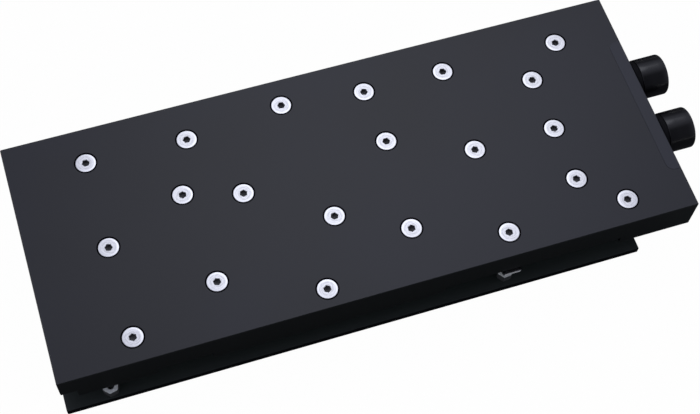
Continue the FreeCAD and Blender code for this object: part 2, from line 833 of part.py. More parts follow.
def make_standoffs():
    """Hexagon standoffs on the backplate: clear bores for the clamp screws, tapped ones at the bracket."""
    for name, bore, places, label in (
            ("clamp_standoff", "card_screw_diameter + 2 * card_screw_clearance", CLAMP_POINTS, "card_standoffs"),
            ("bracket_standoff", "card_screw_diameter + 2 * bore_fit", at(BRACKET_STANDOFFS), "bracket_standoffs")):
        hexagon = primitive(
            "Prism", name + "_hexagon", ("0", "0", "backplate_thickness"),
            Circumradius="standoff_hex / sqrt(3)", Height="standoff_height")
        hexagon.Polygon = 6
        bind(hexagon, "Placement.Rotation.Angle", name + "_turn")
        hole = primitive(
            "Cylinder", name + "_bore", ("0", "0", "backplate_thickness"),
            Radius="0.5 * (%s)" % bore, Height="standoff_height")
        sub_part(copies(name + "_set", cut(name, hexagon, hole), places), label)


def make_posts():
    """Brass posts screwed into the cold plate's underside, tapped for the clamp screws."""
    column = primitive(
        "Cylinder", "post_column", ("0", "0", CARD_HIGH),
        Radius="0.5 * post_diameter", Height="post_height")
    stud = primitive(
        "Cylinder", "post_stud", ("0", "0", PLATE_LOW),
        Radius="0.5 * post_stud_diameter", Height="post_stud_length")
    bore = primitive(
        "Cylinder", "post_bore", ("0", "0", CARD_HIGH),
        Radius="0.5 * card_screw_diameter + bore_fit", Height="post_height + post_stud_length")
    post = cut("post", fused("post_solid", [column, stud]), bore)
    sub_part(copies("post_set", post, CLAMP_POINTS), "plate_posts")


def make_pins():
    """Two dowel pins that line up cover and cold plate."""
    pin = primitive(
        "Cylinder", "pin", ("0", "0", PLATE_TOP + " - pin_plate_depth"),
        Radius="0.5 * pin_diameter", Height="pin_plate_depth + pin_cover_depth - pin_end_gap")
    sub_part(copies("pin_set", pin, at(PINS)), "locating_pins")


def make_fittings():
    """A G1/4 extension and its flat seal at each port."""
    for port in ("inlet", "outlet"):
        def along_x(kind, name, start, **sizes):
            place = ("cover_length + " + start, port + "_y", PORT_LEVEL)
            return turn_along_x(primitive(kind, port + "_" + name, place, **sizes))

        barrel = along_x(
            "Cylinder", "barrel", "port_seal_thickness",
            Radius="0.5 * fitting_diameter", Height="fitting_length")
        turned = bevelled(port + "_barrel_edges", barrel, "fitting_edge")
        spigot = along_x(
            "Cylinder", "spigot", "-spigot_length", Radius="0.5 * thread_major - thread_fit",
            Height="spigot_length + port_seal_thickness + fitting_edge")
        bore = along_x(
            "Cylinder", "bore", "-spigot_length", Radius="0.5 * fitting_bore",
            Height="spigot_length + port_seal_thickness + fitting_length")
        socket = along_x(
            "Cylinder", "socket", "port_seal_thickness + fitting_length - socket_depth",
            Radius="0.5 * thread_major", Height="socket_depth")
        key = along_x(
            "Prism", "key", "port_seal_thickness + fitting_length - socket_depth - fitting_hex_depth",
            Circumradius="fitting_hex / sqrt(3)", Height="fitting_hex_depth")
        key.Polygon = 6
        solid = fused(port + "_solid", [turned, spigot])
        hollow = fused(port + "_hollow", [bore, socket, key])
        sub_part(cut(port + "_extension", solid, hollow), port + "_fitting")

        ring = along_x(
            "Cylinder", "ring", "0",
            Radius="0.5 * fitting_diameter - port_seal_inset", Height="port_seal_thickness")
        eye = along_x(
            "Cylinder", "eye", "0", Radius="0.5 * thread_major - thread_fit + bore_fit",
            Height="port_seal_thickness")
        soft = bevelled(port + "_ring_edges", ring, "port_seal_edge")
        sub_part(cut(port + "_gasket", soft, eye), port + "_seal")


def make_backplate():
    """Black aluminium backplate with countersunk holes on its outer face."""
    body = new_body("backplate_body")
    outline = new_sketch(body, "backplate_outline", "0")
    draw_rectangle(
        outline, "0", "-backplate_overhang", "cover_length - backplate_port_inset",
        "cover_width - backplate_back_inset + backplate_overhang")
    blank = pad(body, outline, "backplate_blank", "backplate_thickness")
    top = size("backplate_thickness")
    rounded = round_edges(
        body, blank, "backplate_corners", lambda box: upright(box, 0, top), "backplate_corner")
    break_edges(
        body, rounded, "backplate_edges",
        lambda box: box.ZLength < 1e-6, "backplate_edge_break")
    drill(
        body, "backplate_holes", CLAMP_POINTS + at(BRACKET_STANDOFFS), "0",
        "card_screw_diameter + 2 * card_screw_clearance",
        head="card_screw_head + 2 * card_screw_land", from_below=True)
    sub_part(body, "backplate")


def make_thermal_pads():
    """Pads between the cold plate, the card's parts and the backplate."""
    paste = primitive(
        "Box", "gpu_pad",
        ("gpu_x - 0.5 * gpu_pad_side", "gpu_y - 0.5 * gpu_pad_side",
         PLATE_LOW + " - pedestal_rise - gpu_pad_thickness"),
        Length="gpu_pad_side", Width="gpu_pad_side", Height="gpu_pad_thickness")
    sub_part(paste, "gpu_pad")
    chip = primitive(
        "Box", "chip_pad",
        ("-0.5 * chip_length", "-0.5 * chip_width", PLATE_LOW + " - chip_rise - chip_pad_thickness"),
        Length="chip_length", Width="chip_width", Height="chip_pad_thickness")
    sub_part(copies("chip_pad_set", chip, at(CHIPS)), "memory_pads")
    strip = primitive(
        "Box", "vrm_pad", ("0", "vrm_pad_margin", PLATE_LOW + " - vrm_pad_thickness"),
        Length="vrm_pad_length", Width="vrm_pad_width", Height="vrm_pad_thickness")
    sub_part(copies("vrm_pad_set", strip, [("vrm_end", "0"), ("gpu_x + vrm_power", "0")]), "vrm_pads")
    choke = primitive(
        "Box", "choke_strip",
        ("choke_start + choke_pad_margin", "choke_margin + choke_pad_margin",
         PLATE_LOW + " + choke_depth - choke_pad_thickness"),
        Length="choke_length - 2 * choke_pad_margin", Width="choke_width - 2 * choke_pad_margin",
        Height="choke_pad_thickness")
    sub_part(choke, "choke_pad")
    back = primitive(
        "Box", "back_pad", ("gpu_x - 0.5 * back_pad_length", "0", "backplate_thickness"),
        Length="back_pad_length", Width="back_pad_width", Height="back_pad_thickness")
    posts = "gpu_y - 0.5 * gpu_post_pitch"
    front = posts + " - 0.5 * standoff_hex - back_pad_clearance - back_pad_width"
    rows = [("0", front), ("0", "gpu_y + back_pad_back")]
    sub_part(copies("back_pad_set", back, rows), "backplate_pads")


def check_document():
    """Stop on any failed object or any sub-part without a sound solid."""
    for item in doc.Objects:
        if {"Invalid", "Error"} & set(item.State):
            raise RuntimeError("%s failed: %s" % (item.Name, item.State))
    for node in NODES:
        if node.Shape.isNull() or not node.Shape.isValid() or not node.Shape.Solids:
            raise RuntimeError("%s has no sound solid" % node.Label)


def write_steps():
    """One STEP file for each sub-part, named by its label."""
    os.makedirs("parts", exist_ok=True)
    for node in NODES:
        node.Shape.exportStep("parts/%s.step" % node.Label)
        print("%-20s solids %2d volume %10.1f mm3" % (node.Label, len(node.Shape.Solids), node.Shape.Volume))


fill_sheet()
make_cover()
make_cold_plate()
make_flow_parts()
make_cover_screws()
make_posts()
make_pins()
make_fittings()
make_backplate()
make_standoffs()
make_card_screws()
make_thermal_pads()
doc.recompute()
check_document()
write_steps()
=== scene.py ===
"""Finishes, fasteners, port fittings, pads and studio for a liquid cooling cold plate.

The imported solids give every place. The cover, cold plate, backplate, main seal, fin bridge with
its gasket, and dowels keep their solids and get their finishes. Screws, standoffs, posts, port
fittings with their rings, and thermal pads are made anew, with the rounded edges, sockets and
threads of the real ones.
"""

import json
import logging
import math
from dataclasses import dataclass, replace
from enum import Enum
from typing import Any, Mapping, Optional, Sequence, Union

import bmesh
import bpy
import numpy as np
from mathutils import Matrix, Vector

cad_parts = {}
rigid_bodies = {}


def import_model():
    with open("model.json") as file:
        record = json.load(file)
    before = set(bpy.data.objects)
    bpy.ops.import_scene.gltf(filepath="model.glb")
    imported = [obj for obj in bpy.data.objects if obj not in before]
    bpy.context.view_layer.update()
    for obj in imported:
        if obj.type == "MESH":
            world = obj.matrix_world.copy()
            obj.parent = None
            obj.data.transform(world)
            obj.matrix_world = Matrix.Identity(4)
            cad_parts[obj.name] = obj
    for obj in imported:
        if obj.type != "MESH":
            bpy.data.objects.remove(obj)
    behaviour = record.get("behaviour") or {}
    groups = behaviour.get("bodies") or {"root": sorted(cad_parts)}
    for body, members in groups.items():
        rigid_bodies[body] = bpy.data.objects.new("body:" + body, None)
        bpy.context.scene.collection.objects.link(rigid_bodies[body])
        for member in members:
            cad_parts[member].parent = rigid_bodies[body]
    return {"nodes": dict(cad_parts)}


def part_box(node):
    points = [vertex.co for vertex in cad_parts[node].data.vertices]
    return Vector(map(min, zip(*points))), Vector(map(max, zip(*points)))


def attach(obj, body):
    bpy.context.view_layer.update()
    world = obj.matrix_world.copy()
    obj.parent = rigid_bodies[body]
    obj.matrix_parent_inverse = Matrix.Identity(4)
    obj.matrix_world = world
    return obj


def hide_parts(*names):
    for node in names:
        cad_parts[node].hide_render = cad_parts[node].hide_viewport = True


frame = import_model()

LOG = logging.getLogger("cold_plate")
MM = 0.001
Colour = tuple[float, float, float]
Place = tuple[float, float, float]
# The flat black that covers painted shade in the darkest places.
SHADE_BLACK: Colour = (0.002, 0.002, 0.003)


# Shader maths -----------------------------------------------------------------------------

class Number:
    """A number that changes over a surface. Arithmetic on it adds Math nodes."""

    def __init__(self, graph: "Graph", socket: bpy.types.NodeSocket) -> None:
        """Wrap one output socket of a graph."""
        self.graph = graph
        self.socket = socket

    def math(self, operation: str, *terms: "Term") -> "Number":
        """Add one Math node.

        Args:
            operation: the Math node's operation.
            terms: what goes into its sockets, in their order.

        Returns:
            The node's result.
        """
        inputs = dict(enumerate(terms))
        node = self.graph.node("ShaderNodeMath", {"operation": operation}, inputs)
        return Number(self.graph, node.outputs[0])

    def __add__(self, other: "Term") -> "Number":
        """Self plus other."""
        return self.math("ADD", self, other)

    __radd__ = __add__

    def __sub__(self, other: "Term") -> "Number":
        """Self minus other."""
        return self.math("SUBTRACT", self, other)

    def __rsub__(self, other: "Term") -> "Number":
        """Other minus self."""
        return self.math("SUBTRACT", other, self)

    def __mul__(self, other: "Term") -> "Number":
        """Self times other."""
        return self.math("MULTIPLY", self, other)

    __rmul__ = __mul__

    def minimum(self, other: "Term") -> "Number":
        """The lower of self and other."""
        return self.math("MINIMUM", self, other)

    def maximum(self, other: "Term") -> "Number":
        """The higher of self and other."""
        return self.math("MAXIMUM", self, other)

    def cosine(self) -> "Number":
        """Cosine of self in radians."""
        return self.math("COSINE", self)

    def sine(self) -> "Number":
        """Sine of self in radians."""
        return self.math("SINE", self)

    def rise(self, low: float, high: float) -> "Number":
        """A soft step.

        Args:
            low: the value up to which the result is 0.
            high: the value from which the result is 1.

        Returns:
            A number that goes smoothly from 0 to 1 between the two.
        """
        node = self.graph.node(
            "ShaderNodeMapRange",
            {"interpolation_type": "SMOOTHSTEP"},
            {"Value": self, "From Min": low, "From Max": high},
        )
        return Number(self.graph, node.outputs[0])

    def plateau(self, start: float, full: float, fade: float, stop: float) -> "Number":
        """1 from full to fade, and softly down to 0 at start and at stop."""
        return self.rise(start, full) * (1 - self.rise(fade, stop))

    def gain(self, factor: float) -> "Number":
        """1 where self is 0, and the factor where self is 1."""
        return 1 + (factor - 1) * self


# The Mix node's colour sockets. Its sockets for other types have the same names.
MIX_FACTOR = 0
MIX_FIRST = 6
MIX_SECOND = 7
MIX_RESULT = 2

Term = Union[Number, float, int]
Value = Union[Number, bpy.types.NodeSocket, float, int, Sequence[float]]


class Graph:
    """The node tree of one material, with a Principled shader that its finish feeds."""

    def __init__(self, tree: bpy.types.NodeTree, shader: Optional[bpy.types.Node] = None) -> None:
        """Keep a tree and the shader node that feed() writes to."""
        self.tree = tree
        self.shader = shader

    def node(
        self,
        kind: str,
        settings: Optional[Mapping[str, Any]] = None,
        inputs: Optional[Mapping[Union[str, int], Value]] = None,
    ) -> bpy.types.Node:
        """Add any node.

        Args:
            kind: the node's type name.
            settings: its own properties, set first.
            inputs: a value or a link for each of its sockets, by name or number.

        Returns:
            The new node.
        """
        node = self.tree.nodes.new(kind)
        for key, value in (settings or {}).items():
            setattr(node, key, value)
        for key, value in (inputs or {}).items():
            self.plug(node.inputs[key], value)
        return node

    def plug(self, socket: bpy.types.NodeSocket, value: Value) -> None:
        """Link a value into a socket, or set it where it is a constant.

        Args:
            socket: an input socket.
            value: what goes into it.
        """
        if isinstance(value, Number):
            self.tree.links.new(value.socket, socket)
        elif isinstance(value, bpy.types.NodeSocket):
            self.tree.links.new(value, socket)
        else:
            socket.default_value = value

    def feed(self, name: str, value: Value) -> None:
        """Give one socket of the shader its value or link."""
        self.plug(self.shader.inputs[name], value)

    def matt(self, colour: Colour) -> bpy.types.NodeSocket:
        """A plain matt shader."""
        return self.node("ShaderNodeBsdfDiffuse", None, {"Color": (*colour, 1.0)}).outputs[0]

    def shaders(
        self, factor: Term, first: bpy.types.NodeSocket, second: bpy.types.NodeSocket
    ) -> bpy.types.NodeSocket:
        """Blend two shaders: the first where the factor is 0, the second where it is 1."""
        return self.node("ShaderNodeMixShader", None, {0: factor, 1: first, 2: second}).outputs[0]

    def paint_shade_black(self, factor: Number) -> None:
        """Cover the shader with a flat deep black, which is painted shade.

        Args:
            factor: 1 where the black shows, 0 where the shader does.
        """
        output = next(n for n in self.tree.nodes if n.type == "OUTPUT_MATERIAL")
        both = self.shaders(factor, self.shader.outputs[0], self.matt(SHADE_BLACK))
        self.plug(output.inputs["Surface"], both)

    def place(self) -> tuple[Number, Number, Number]:
        """X, Y and Z of the surface in metres."""
        where = self.node("ShaderNodeTexCoord").outputs["Object"]
        return self.split(where)

    def split(self, vector: bpy.types.NodeSocket) -> tuple[Number, Number, Number]:
        """The three parts of a vector."""
        node = self.node("ShaderNodeSeparateXYZ", None, {0: vector})
        return tuple(Number(self, output) for output in node.outputs)

    def turning(self) -> tuple[Number, Number]:
        """Where on a turned piece a point lies, as turned() notes it.

        Returns:
            The angle in radians and the track in millimetres.
        """
        node = self.node("ShaderNodeUVMap", {"uv_map": "turning"})
        across, track, _ = self.split(node.outputs[0])
        return across * (2 * math.pi), track

    def attribute(self, name: str) -> Number:
        """A number that the mesh carries at each of its points."""
        node = self.node("ShaderNodeAttribute", {"attribute_name": name})
        return Number(self, node.outputs["Fac"])

    def noise(
        self,
        parts: Sequence[Number],
        scale: Union[float, Sequence[float]],
        detail: float = 2.0,
        roughness: float = 0.5,
    ) -> Number:
        """Smooth noise between 0 and 1.

        Args:
            parts: three coordinates.
            scale: how many blots there are in a unit, for all three or for each of them.
            detail: how many finer octaves are added.
            roughness: how strong the finer octaves are.

        Returns:
            The noise.
        """
        scales = scale if isinstance(scale, tuple) else (scale, scale, scale)
        scaled = [part * blots for part, blots in zip(parts, scales)]
        where = self.node("ShaderNodeCombineXYZ", None, dict(enumerate(scaled)))
        node = self.node(
            "ShaderNodeTexNoise",
            None,
            {"Vector": where.outputs[0], "Scale": 1.0, "Detail": detail, "Roughness": roughness},
        )
        return Number(self, node.outputs[0])

    def mix(
        self, factor: Term, first: Value, second: Value, way: str = "MIX"
    ) -> bpy.types.NodeSocket:
        """Blend two colours.

        Args:
            factor: the share of the second colour.
            first: a colour or a link.
            second: a colour, a number or a link.
            way: the Mix node's blend type.

        Returns:
            The blended colour.
        """
        node = self.node("ShaderNodeMix", {"data_type": "RGBA", "blend_type": way})
        for index, value in ((MIX_FACTOR, factor), (MIX_FIRST, first), (MIX_SECOND, second)):
            self.plug(node.inputs[index], (*value, 1.0) if isinstance(value, tuple) else value)
        return node.outputs[MIX_RESULT]

    def tint(self, colour: Value, gain: Number) -> None:
        """Give the shader a colour that is brightened or darkened by a number."""
        self.feed("Base Color", self.mix(1.0, colour, gain, "MULTIPLY"))

    def emboss(self, height: Number, distance: float) -> None:
        """Bend the shader's normal by a relief, whose height of 1 is a distance in metres."""
        node = self.node("ShaderNodeBump", None, {"Height": height, "Distance": distance})
        self.feed("Normal", node.outputs[0])


# Finishes ---------------------------------------------------------------------------------

@dataclass(frozen=True)
class Finish:
    """What every finish has: a colour, a roughness and how much it is a metal."""

    name: str
    colour: Colour
    roughness: float
    metallic: float = 0.0
    specular: float = 0.5

    def material(self) -> bpy.types.Material:
        """Make the material: constants on the shader, then the finish's own detail.

        Returns:
            The new material.
        """
        material = bpy.data.materials.new(self.name)
        material.use_nodes = True
        shader = next(n for n in material.node_tree.nodes if n.type == "BSDF_PRINCIPLED")
        graph = Graph(material.node_tree, shader)
        graph.feed("Base Color", (*self.colour, 1.0))
        graph.feed("Roughness", self.roughness)
        graph.feed("Metallic", self.metallic)
        graph.feed("Specular IOR Level", self.specular)
        self.detail(graph)
        return material

    def detail(self, graph: Graph) -> None:
        """Add what changes over the surface.

        Args:
            graph: the material's nodes, whose shader has the constants.
        """
        raise NotImplementedError


@dataclass(frozen=True)
class BoxedFinish(Finish):
    """A finish that finds the edges of its piece by the piece's box, in metres."""

    low: Place = (0.0, 0.0, 0.0)
    high: Place = (0.0, 0.0, 0.0)

    def inset(self, x: Number, y: Number) -> Number:
        """How far in a place lies from the nearest of the box's four sides."""
        across = (x - self.low[0]).minimum(self.high[0] - x)
        return across.minimum(y - self.low[1]).minimum(self.high[1] - y)


@dataclass(frozen=True)
class MilledAcetal(BoxedFinish):
    """Black acetal, fly cut on top: fine grain, soft clouds, and painted shade in the countersinks.

    The masks come from heights: above the top face lies the raised port pad, and below it,
    away from the outline, lie the countersinks and channels. What is left below it are the
    outer walls, which get a darker, greener colour than the top: painted shade.
    """

    cool: Colour = (0.0095, 0.0105, 0.017)
    shaded_wall: Colour = (0.0045, 0.0062, 0.0055)
    top: float = 0.0
    pad_gain: float = 1.8
    hollow_shade_gain: float = 0.06

    def detail(self, graph: Graph) -> None:
        """Clouds of a cooler black, grain, cutter marks on the walls, and the masks, with painted
        shade on the walls and in the countersinks and channels.

        Args:
            graph: the material's nodes.
        """
        place = x, y, z = graph.place()
        clouds = graph.noise(place, 16.0, detail=1.5)
        grain = graph.noise(place, 2600.0)
        marks = graph.noise(place, (700.0, 700.0, 25.0), detail=1.0)
        flats = z.rise(self.top - 0.03 * MM, self.top - 0.005 * MM)
        pad = z.rise(self.top + 0.03 * MM, self.top + 0.07 * MM)
        # Painted shade: the countersinks and channels below the top are darkened, then covered in
        # flat black.
        inner = self.inset(x, y).rise(0.35 * MM, 0.6 * MM) * (1 - flats)
        walls = (1 - flats) * (1 - inner)
        cloudy = graph.mix(clouds.rise(0.35, 0.65), self.colour, self.cool)
        gain = (0.9 + 0.2 * clouds) * pad.gain(self.pad_gain) * inner.gain(self.hollow_shade_gain)
        # Painted shade: the outer walls take a darker colour than the top.
        graph.tint(graph.mix(walls, cloudy, self.shaded_wall), gain)
        rough = self.roughness + 0.08 * (grain - 0.5) + 0.05 * walls * (marks - 0.5)
        graph.feed("Roughness", rough)
        graph.emboss(grain * 0.6 + walls * marks, 0.004 * MM)
        graph.paint_shade_black(inner)


@dataclass(frozen=True)
class TurnedMetal(Finish):
    """Bright metal off a lathe: rings round the axis, a duller faced zone, painted shade in
    sockets.

    facing is the radius in millimetres of the face that carries the zone. The zone starts, is
    full, fades and stops at shares of it.
    """

    ring_depth: float = 0.0008 * MM
    facing: float = 1.0
    zone: tuple[float, float, float, float] = (0.3, 0.42, 0.76, 0.86)
    shade_gain: float = 0.26

    def detail(self, graph: Graph) -> None:
        """Rings follow the track round the axis. The painted shade that the mesh carries darkens
        sockets, bores and flats.

        Args:
            graph: the material's nodes.
        """
        angle, track = graph.turning()
        cosine, sine = angle.cosine(), angle.sine()
        rings = graph.noise((track, cosine, sine), (9.0, 0.7, 0.7), detail=3.0, roughness=0.65)
        hazes = graph.noise(graph.place(), 60.0)
        arcs = graph.noise((cosine, sine, track), (1.5, 1.5, 2.4)).rise(0.42, 0.62)
        # Painted shade, darkest deep in sockets and bores.
        shade = graph.attribute("shade")
        mark = track.plateau(*(share * self.facing for share in self.zone))
        gain = (0.89 + 0.14 * rings + 0.04 * hazes) * (1 - mark * (0.02 + 0.22 * arcs))
        graph.tint(self.colour, gain * shade.gain(self.shade_gain))
        graph.feed("Roughness", self.roughness + 0.16 * (rings - 0.5) + 0.05 * mark + 0.25 * shade)
        graph.emboss(rings, self.ring_depth)


@dataclass(frozen=True)
class LappedMetal(Finish):
    """Plated sheet or block: fine lines along its length and soft clouds of tarnish.

    front is the Y in metres of a face that was milled and stayed rougher than the lapped ones.
    The default lies in front of any piece.
    """

    tarnish: Colour = (0.60, 0.56, 0.50)
    lines: Place = (40.0, 1800.0, 1800.0)
    front: float = -1.0
    front_metallic: float = 0.15

    def detail(self, graph: Graph) -> None:
        """Lines are noise stretched along X. Clouds blend in the tarnish.

        Args:
            graph: the material's nodes.
        """
        place = graph.place()
        lines = graph.noise(place, self.lines)
        clouds = graph.noise(place, 28.0, detail=3.0)
        colour = graph.mix(0.35 * clouds.rise(0.5, 0.75), self.colour, self.tarnish)
        graph.tint(colour, 0.9 + 0.2 * lines)
        milled = 1 - place[1].rise(self.front + 0.01 * MM, self.front + 0.05 * MM)
        graph.feed("Metallic", milled.gain(self.front_metallic))
        graph.feed("Roughness", self.roughness + 0.2 * (lines - 0.5) + 0.1 * clouds + 0.35 * milled)
        graph.emboss(lines, 0.002 * MM)


@dataclass(frozen=True)
class BlastedAnodising(BoxedFinish):
    """Black anodised aluminium, bead blasted: tiny pits, rubbed a little lighter at its edges.

    Its side walls are painted a flat black, as shade.
    """

    worn: Colour = (0.05, 0.055, 0.055)
    wear_from: float = 0.35 * MM
    wear_full: float = 0.05 * MM
    side_shade: float = 0.85

    def detail(self, graph: Graph) -> None:
        """Pits are fine noise. Wear shows in patches within a third of a millimetre of an edge.

        Args:
            graph: the material's nodes.
        """
        place = x, y, z = graph.place()
        pits = graph.noise(place, 3200.0, detail=1.0)
        patches = graph.noise(place, 90.0, detail=3.0)
        level = (z - self.low[2]).minimum(self.high[2] - z)
        rim = 1 - self.inset(x, y).rise(self.wear_full, self.wear_from)
        wear = rim * (1 - level.rise(self.wear_full, self.wear_from)) * patches.rise(0.45, 0.7)
        colour = graph.mix(0.5 * wear, self.colour, self.worn)
        graph.tint(colour, 0.85 + 0.3 * pits)
        graph.feed("Roughness", self.roughness + 0.1 * (pits - 0.5) + 0.06 * (patches - 0.5))
        graph.emboss(pits, 0.003 * MM)
        # Painted shade: the side walls, away from the top and the underside, are covered in flat
        # black.
        graph.paint_shade_black(self.side_shade * level.rise(0.02 * MM, 0.06 * MM))


@dataclass(frozen=True)
class MouldedRubber(Finish):
    """Black seal rubber: matt, with a fine flow texture and a trace of dust."""

    dust: Colour = (0.012, 0.012, 0.013)

    def detail(self, graph: Graph) -> None:
        """Flow texture from two sizes of noise. Dust blends in where the coarse one is high.

        Args:
            graph: the material's nodes.
        """
        place = graph.place()
        coarse = graph.noise(place, 350.0, detail=3.0)
        fine = graph.noise(place, 2400.0, detail=1.0)
        graph.feed("Base Color", graph.mix(0.5 * coarse.rise(0.5, 0.8), self.colour, self.dust))
        graph.feed("Roughness", self.roughness + 0.12 * (coarse - 0.5))
        graph.emboss(0.7 * coarse + 0.3 * fine, 0.01 * MM)


@dataclass(frozen=True)
class GapFiller(Finish):
    """Filled silicone pad: mineral specks, and the weave that its liner pressed into it."""

    speck: Colour = (0.62, 0.64, 0.66)
    weave: float = 0.8 * MM

    def detail(self, graph: Graph) -> None:
        """The weave is the product of two sine waves across the pad. Specks are fine noise.

        Args:
            graph: the material's nodes.
        """
        place = x, y, _ = graph.place()
        turn = 2 * math.pi / self.weave
        weave = 0.5 + 0.5 * ((x * turn).sine() * (y * turn).sine())
        specks = graph.noise(place, 1900.0, detail=1.0)
        clouds = graph.noise(place, 120.0)
        colour = graph.mix(0.7 * specks.rise(0.58, 0.7), self.colour, self.speck)
        graph.tint(colour, 0.88 + 0.24 * clouds)
        graph.feed("Roughness", self.roughness - 0.1 * specks)
        graph.emboss(0.6 * weave + 0.4 * specks, 0.03 * MM)


# Mesh building ----------------------------------------------------------------------------

# How many points a rounded edge has, and a radius in millimetres that no piece reaches.
ARC_POINTS = 6
NO_LIMIT = 1e3
# The distance in metres at which points join, and the angle in degrees that stays sharp.
WELD = 0.0002 * MM
SHARP = 32.0


class Axis(Enum):
    """Where a turned piece's axis points, as the rows of its rotation."""

    UP = ((1, 0, 0), (0, 1, 0), (0, 0, 1))
    DOWN = ((1, 0, 0), (0, -1, 0), (0, 0, -1))
    ALONG = ((0, 0, 1), (1, 0, 0), (0, 1, 0))


@dataclass(frozen=True)
class Grid:
    """A surface sampled on a grid whose last column joins the first.

    points is rows by columns by 3, uv has one column more, so that the seam closes, and shade
    is one number a row. A ringed grid's last row joins its first as well.
    """

    points: np.ndarray
    uv: np.ndarray
    shade: np.ndarray
    ringed: bool = False

    def moved(self, place: Sequence[float], axis: Axis = Axis.UP, turn: float = 0.0) -> "Grid":
        """The grid turned about its own axis, pointed along another and put in place.

        Args:
            place: where the grid's origin goes, in metres.
            axis: where its Z axis points.
            turn: the angle about its own axis, in radians.

        Returns:
            A new grid.
        """
        cos, sin = math.cos(turn), math.sin(turn)
        spin = np.array([[cos, -sin, 0.0], [sin, cos, 0.0], [0.0, 0.0, 1.0]])
        points = self.points @ (np.array(axis.value, float) @ spin).T + np.array(place, float)
        return Grid(points, self.uv, self.shade, self.ringed)


class Contour:
    """Half section of a turned piece, in millimetres: radius and level of each point.

    A point may also be hexagonal, which makes its radius the distance to the flats, capped by
    a limit, as a turned bevel caps a hexagon's corners, and carry painted shade, as inside a
    socket.
    """

    def __init__(self) -> None:
        """Start with no points."""
        self.rows: list[np.ndarray] = []

    def add(self, radii: np.ndarray, levels: np.ndarray, shade: float = 0.0) -> "Contour":
        """Add round points.

        Args:
            radii: their distances from the axis.
            levels: their heights along it.
            shade: how much painted shade darkens them.

        Returns:
            The contour itself.
        """
        same = np.ones(len(radii))
        self.rows.append(np.column_stack([radii, levels, 0 * same, shade * same, NO_LIMIT * same]))
        return self

    def to(
        self,
        radius: float,
        level: float,
        hexagon: float = 0.0,
        shade: float = 0.0,
        limit: float = NO_LIMIT,
    ) -> "Contour":
        """Add one point.

        Args:
            radius: distance from the axis, or to the flats.
            level: height along the axis.
            hexagon: 0 for round, 1 for hexagonal.
            shade: how much painted shade darkens it.
            limit: the most that the radius may be.

        Returns:
            The contour itself.
        """
        self.rows.append(np.array([[radius, level, hexagon, shade, limit]]))
        return self

    def edge(self, radius: float, level: float, size: float, top: bool = True) -> "Contour":
        """Add the rounded outer edge of a face.

        Args:
            radius: the outer radius.
            level: the level of the face.
            size: the edge's own radius.
            top: whether the face looks up.

        Returns:
            The contour itself. Each point is the edge's centre plus size times cosine and sine,
            over the quarter turn that ends at the face, or that starts there under a piece.
        """
        angles = np.linspace(0.0, np.pi / 2, ARC_POINTS) - (0.0 if top else np.pi / 2)
        centre = level - size if top else level + size
        return self.add(radius - size + size * np.cos(angles), centre + size * np.sin(angles))

    def thread(
        self,
        crest: float,
        root: float,
        start: float,
        stop: float,
        pitch: float,
        shade: float = 0.0,
    ) -> "Contour":
        """Add a row of thread ridges.

        Args:
            crest: radius of the ridges.
            root: radius between them.
            start: the first level.
            stop: the last level.
            pitch: the distance from ridge to ridge.
            shade: how much painted shade darkens them.

        Returns:
            The contour itself. Crests and roots alternate every half pitch.
        """
        count = 2 * max(1, round(abs(stop - start) / pitch)) + 1
        radii = np.where(np.arange(count) % 2, root, crest)
        return self.add(radii, np.linspace(start, stop, count), shade)

    def turned(self, segments: int = 60, end: float = 0.0, ringed: bool = False) -> Grid:
        """Turn the contour about the Z axis.

        The radius at an angle is the point's radius times (1 - hexagon + hexagon / cos a),
        where a runs from -30 to 30 degrees over each flat, and never more than the limit.

        Args:
            segments: the number of columns, a multiple of 6 so that corners stay sharp.
            end: the level of the end face, from which the track counts.
            ringed: whether the last point joins the first.

        Returns:
            The surface, in metres.
        """
        radius, level, hexagon, shade, limit = np.concatenate(self.rows).T
        angle = np.linspace(0.0, 2 * np.pi, segments, endpoint=False)
        flat = np.mod(angle - np.pi / 6, np.pi / 3) - np.pi / 6
        reach = radius[:, None] * (1 - hexagon[:, None] + hexagon[:, None] / np.cos(flat)[None, :])
        reach = np.minimum(reach, limit[:, None])
        heights = np.broadcast_to(level[:, None], reach.shape)
        points = np.stack([reach * np.cos(angle), reach * np.sin(angle), heights], axis=-1) * MM
        turn = np.linspace(0.0, 1.0, segments + 1)
        track = radius + end - level
        uv = np.stack(np.broadcast_arrays(turn[None, :], track[:, None]), axis=-1)
        return Grid(points, uv, shade, ringed)


def signed_power(values: np.ndarray, power: float) -> np.ndarray:
    """The values' sizes raised to a power, each with its own sign."""
    return np.sign(values) * np.abs(values) ** power


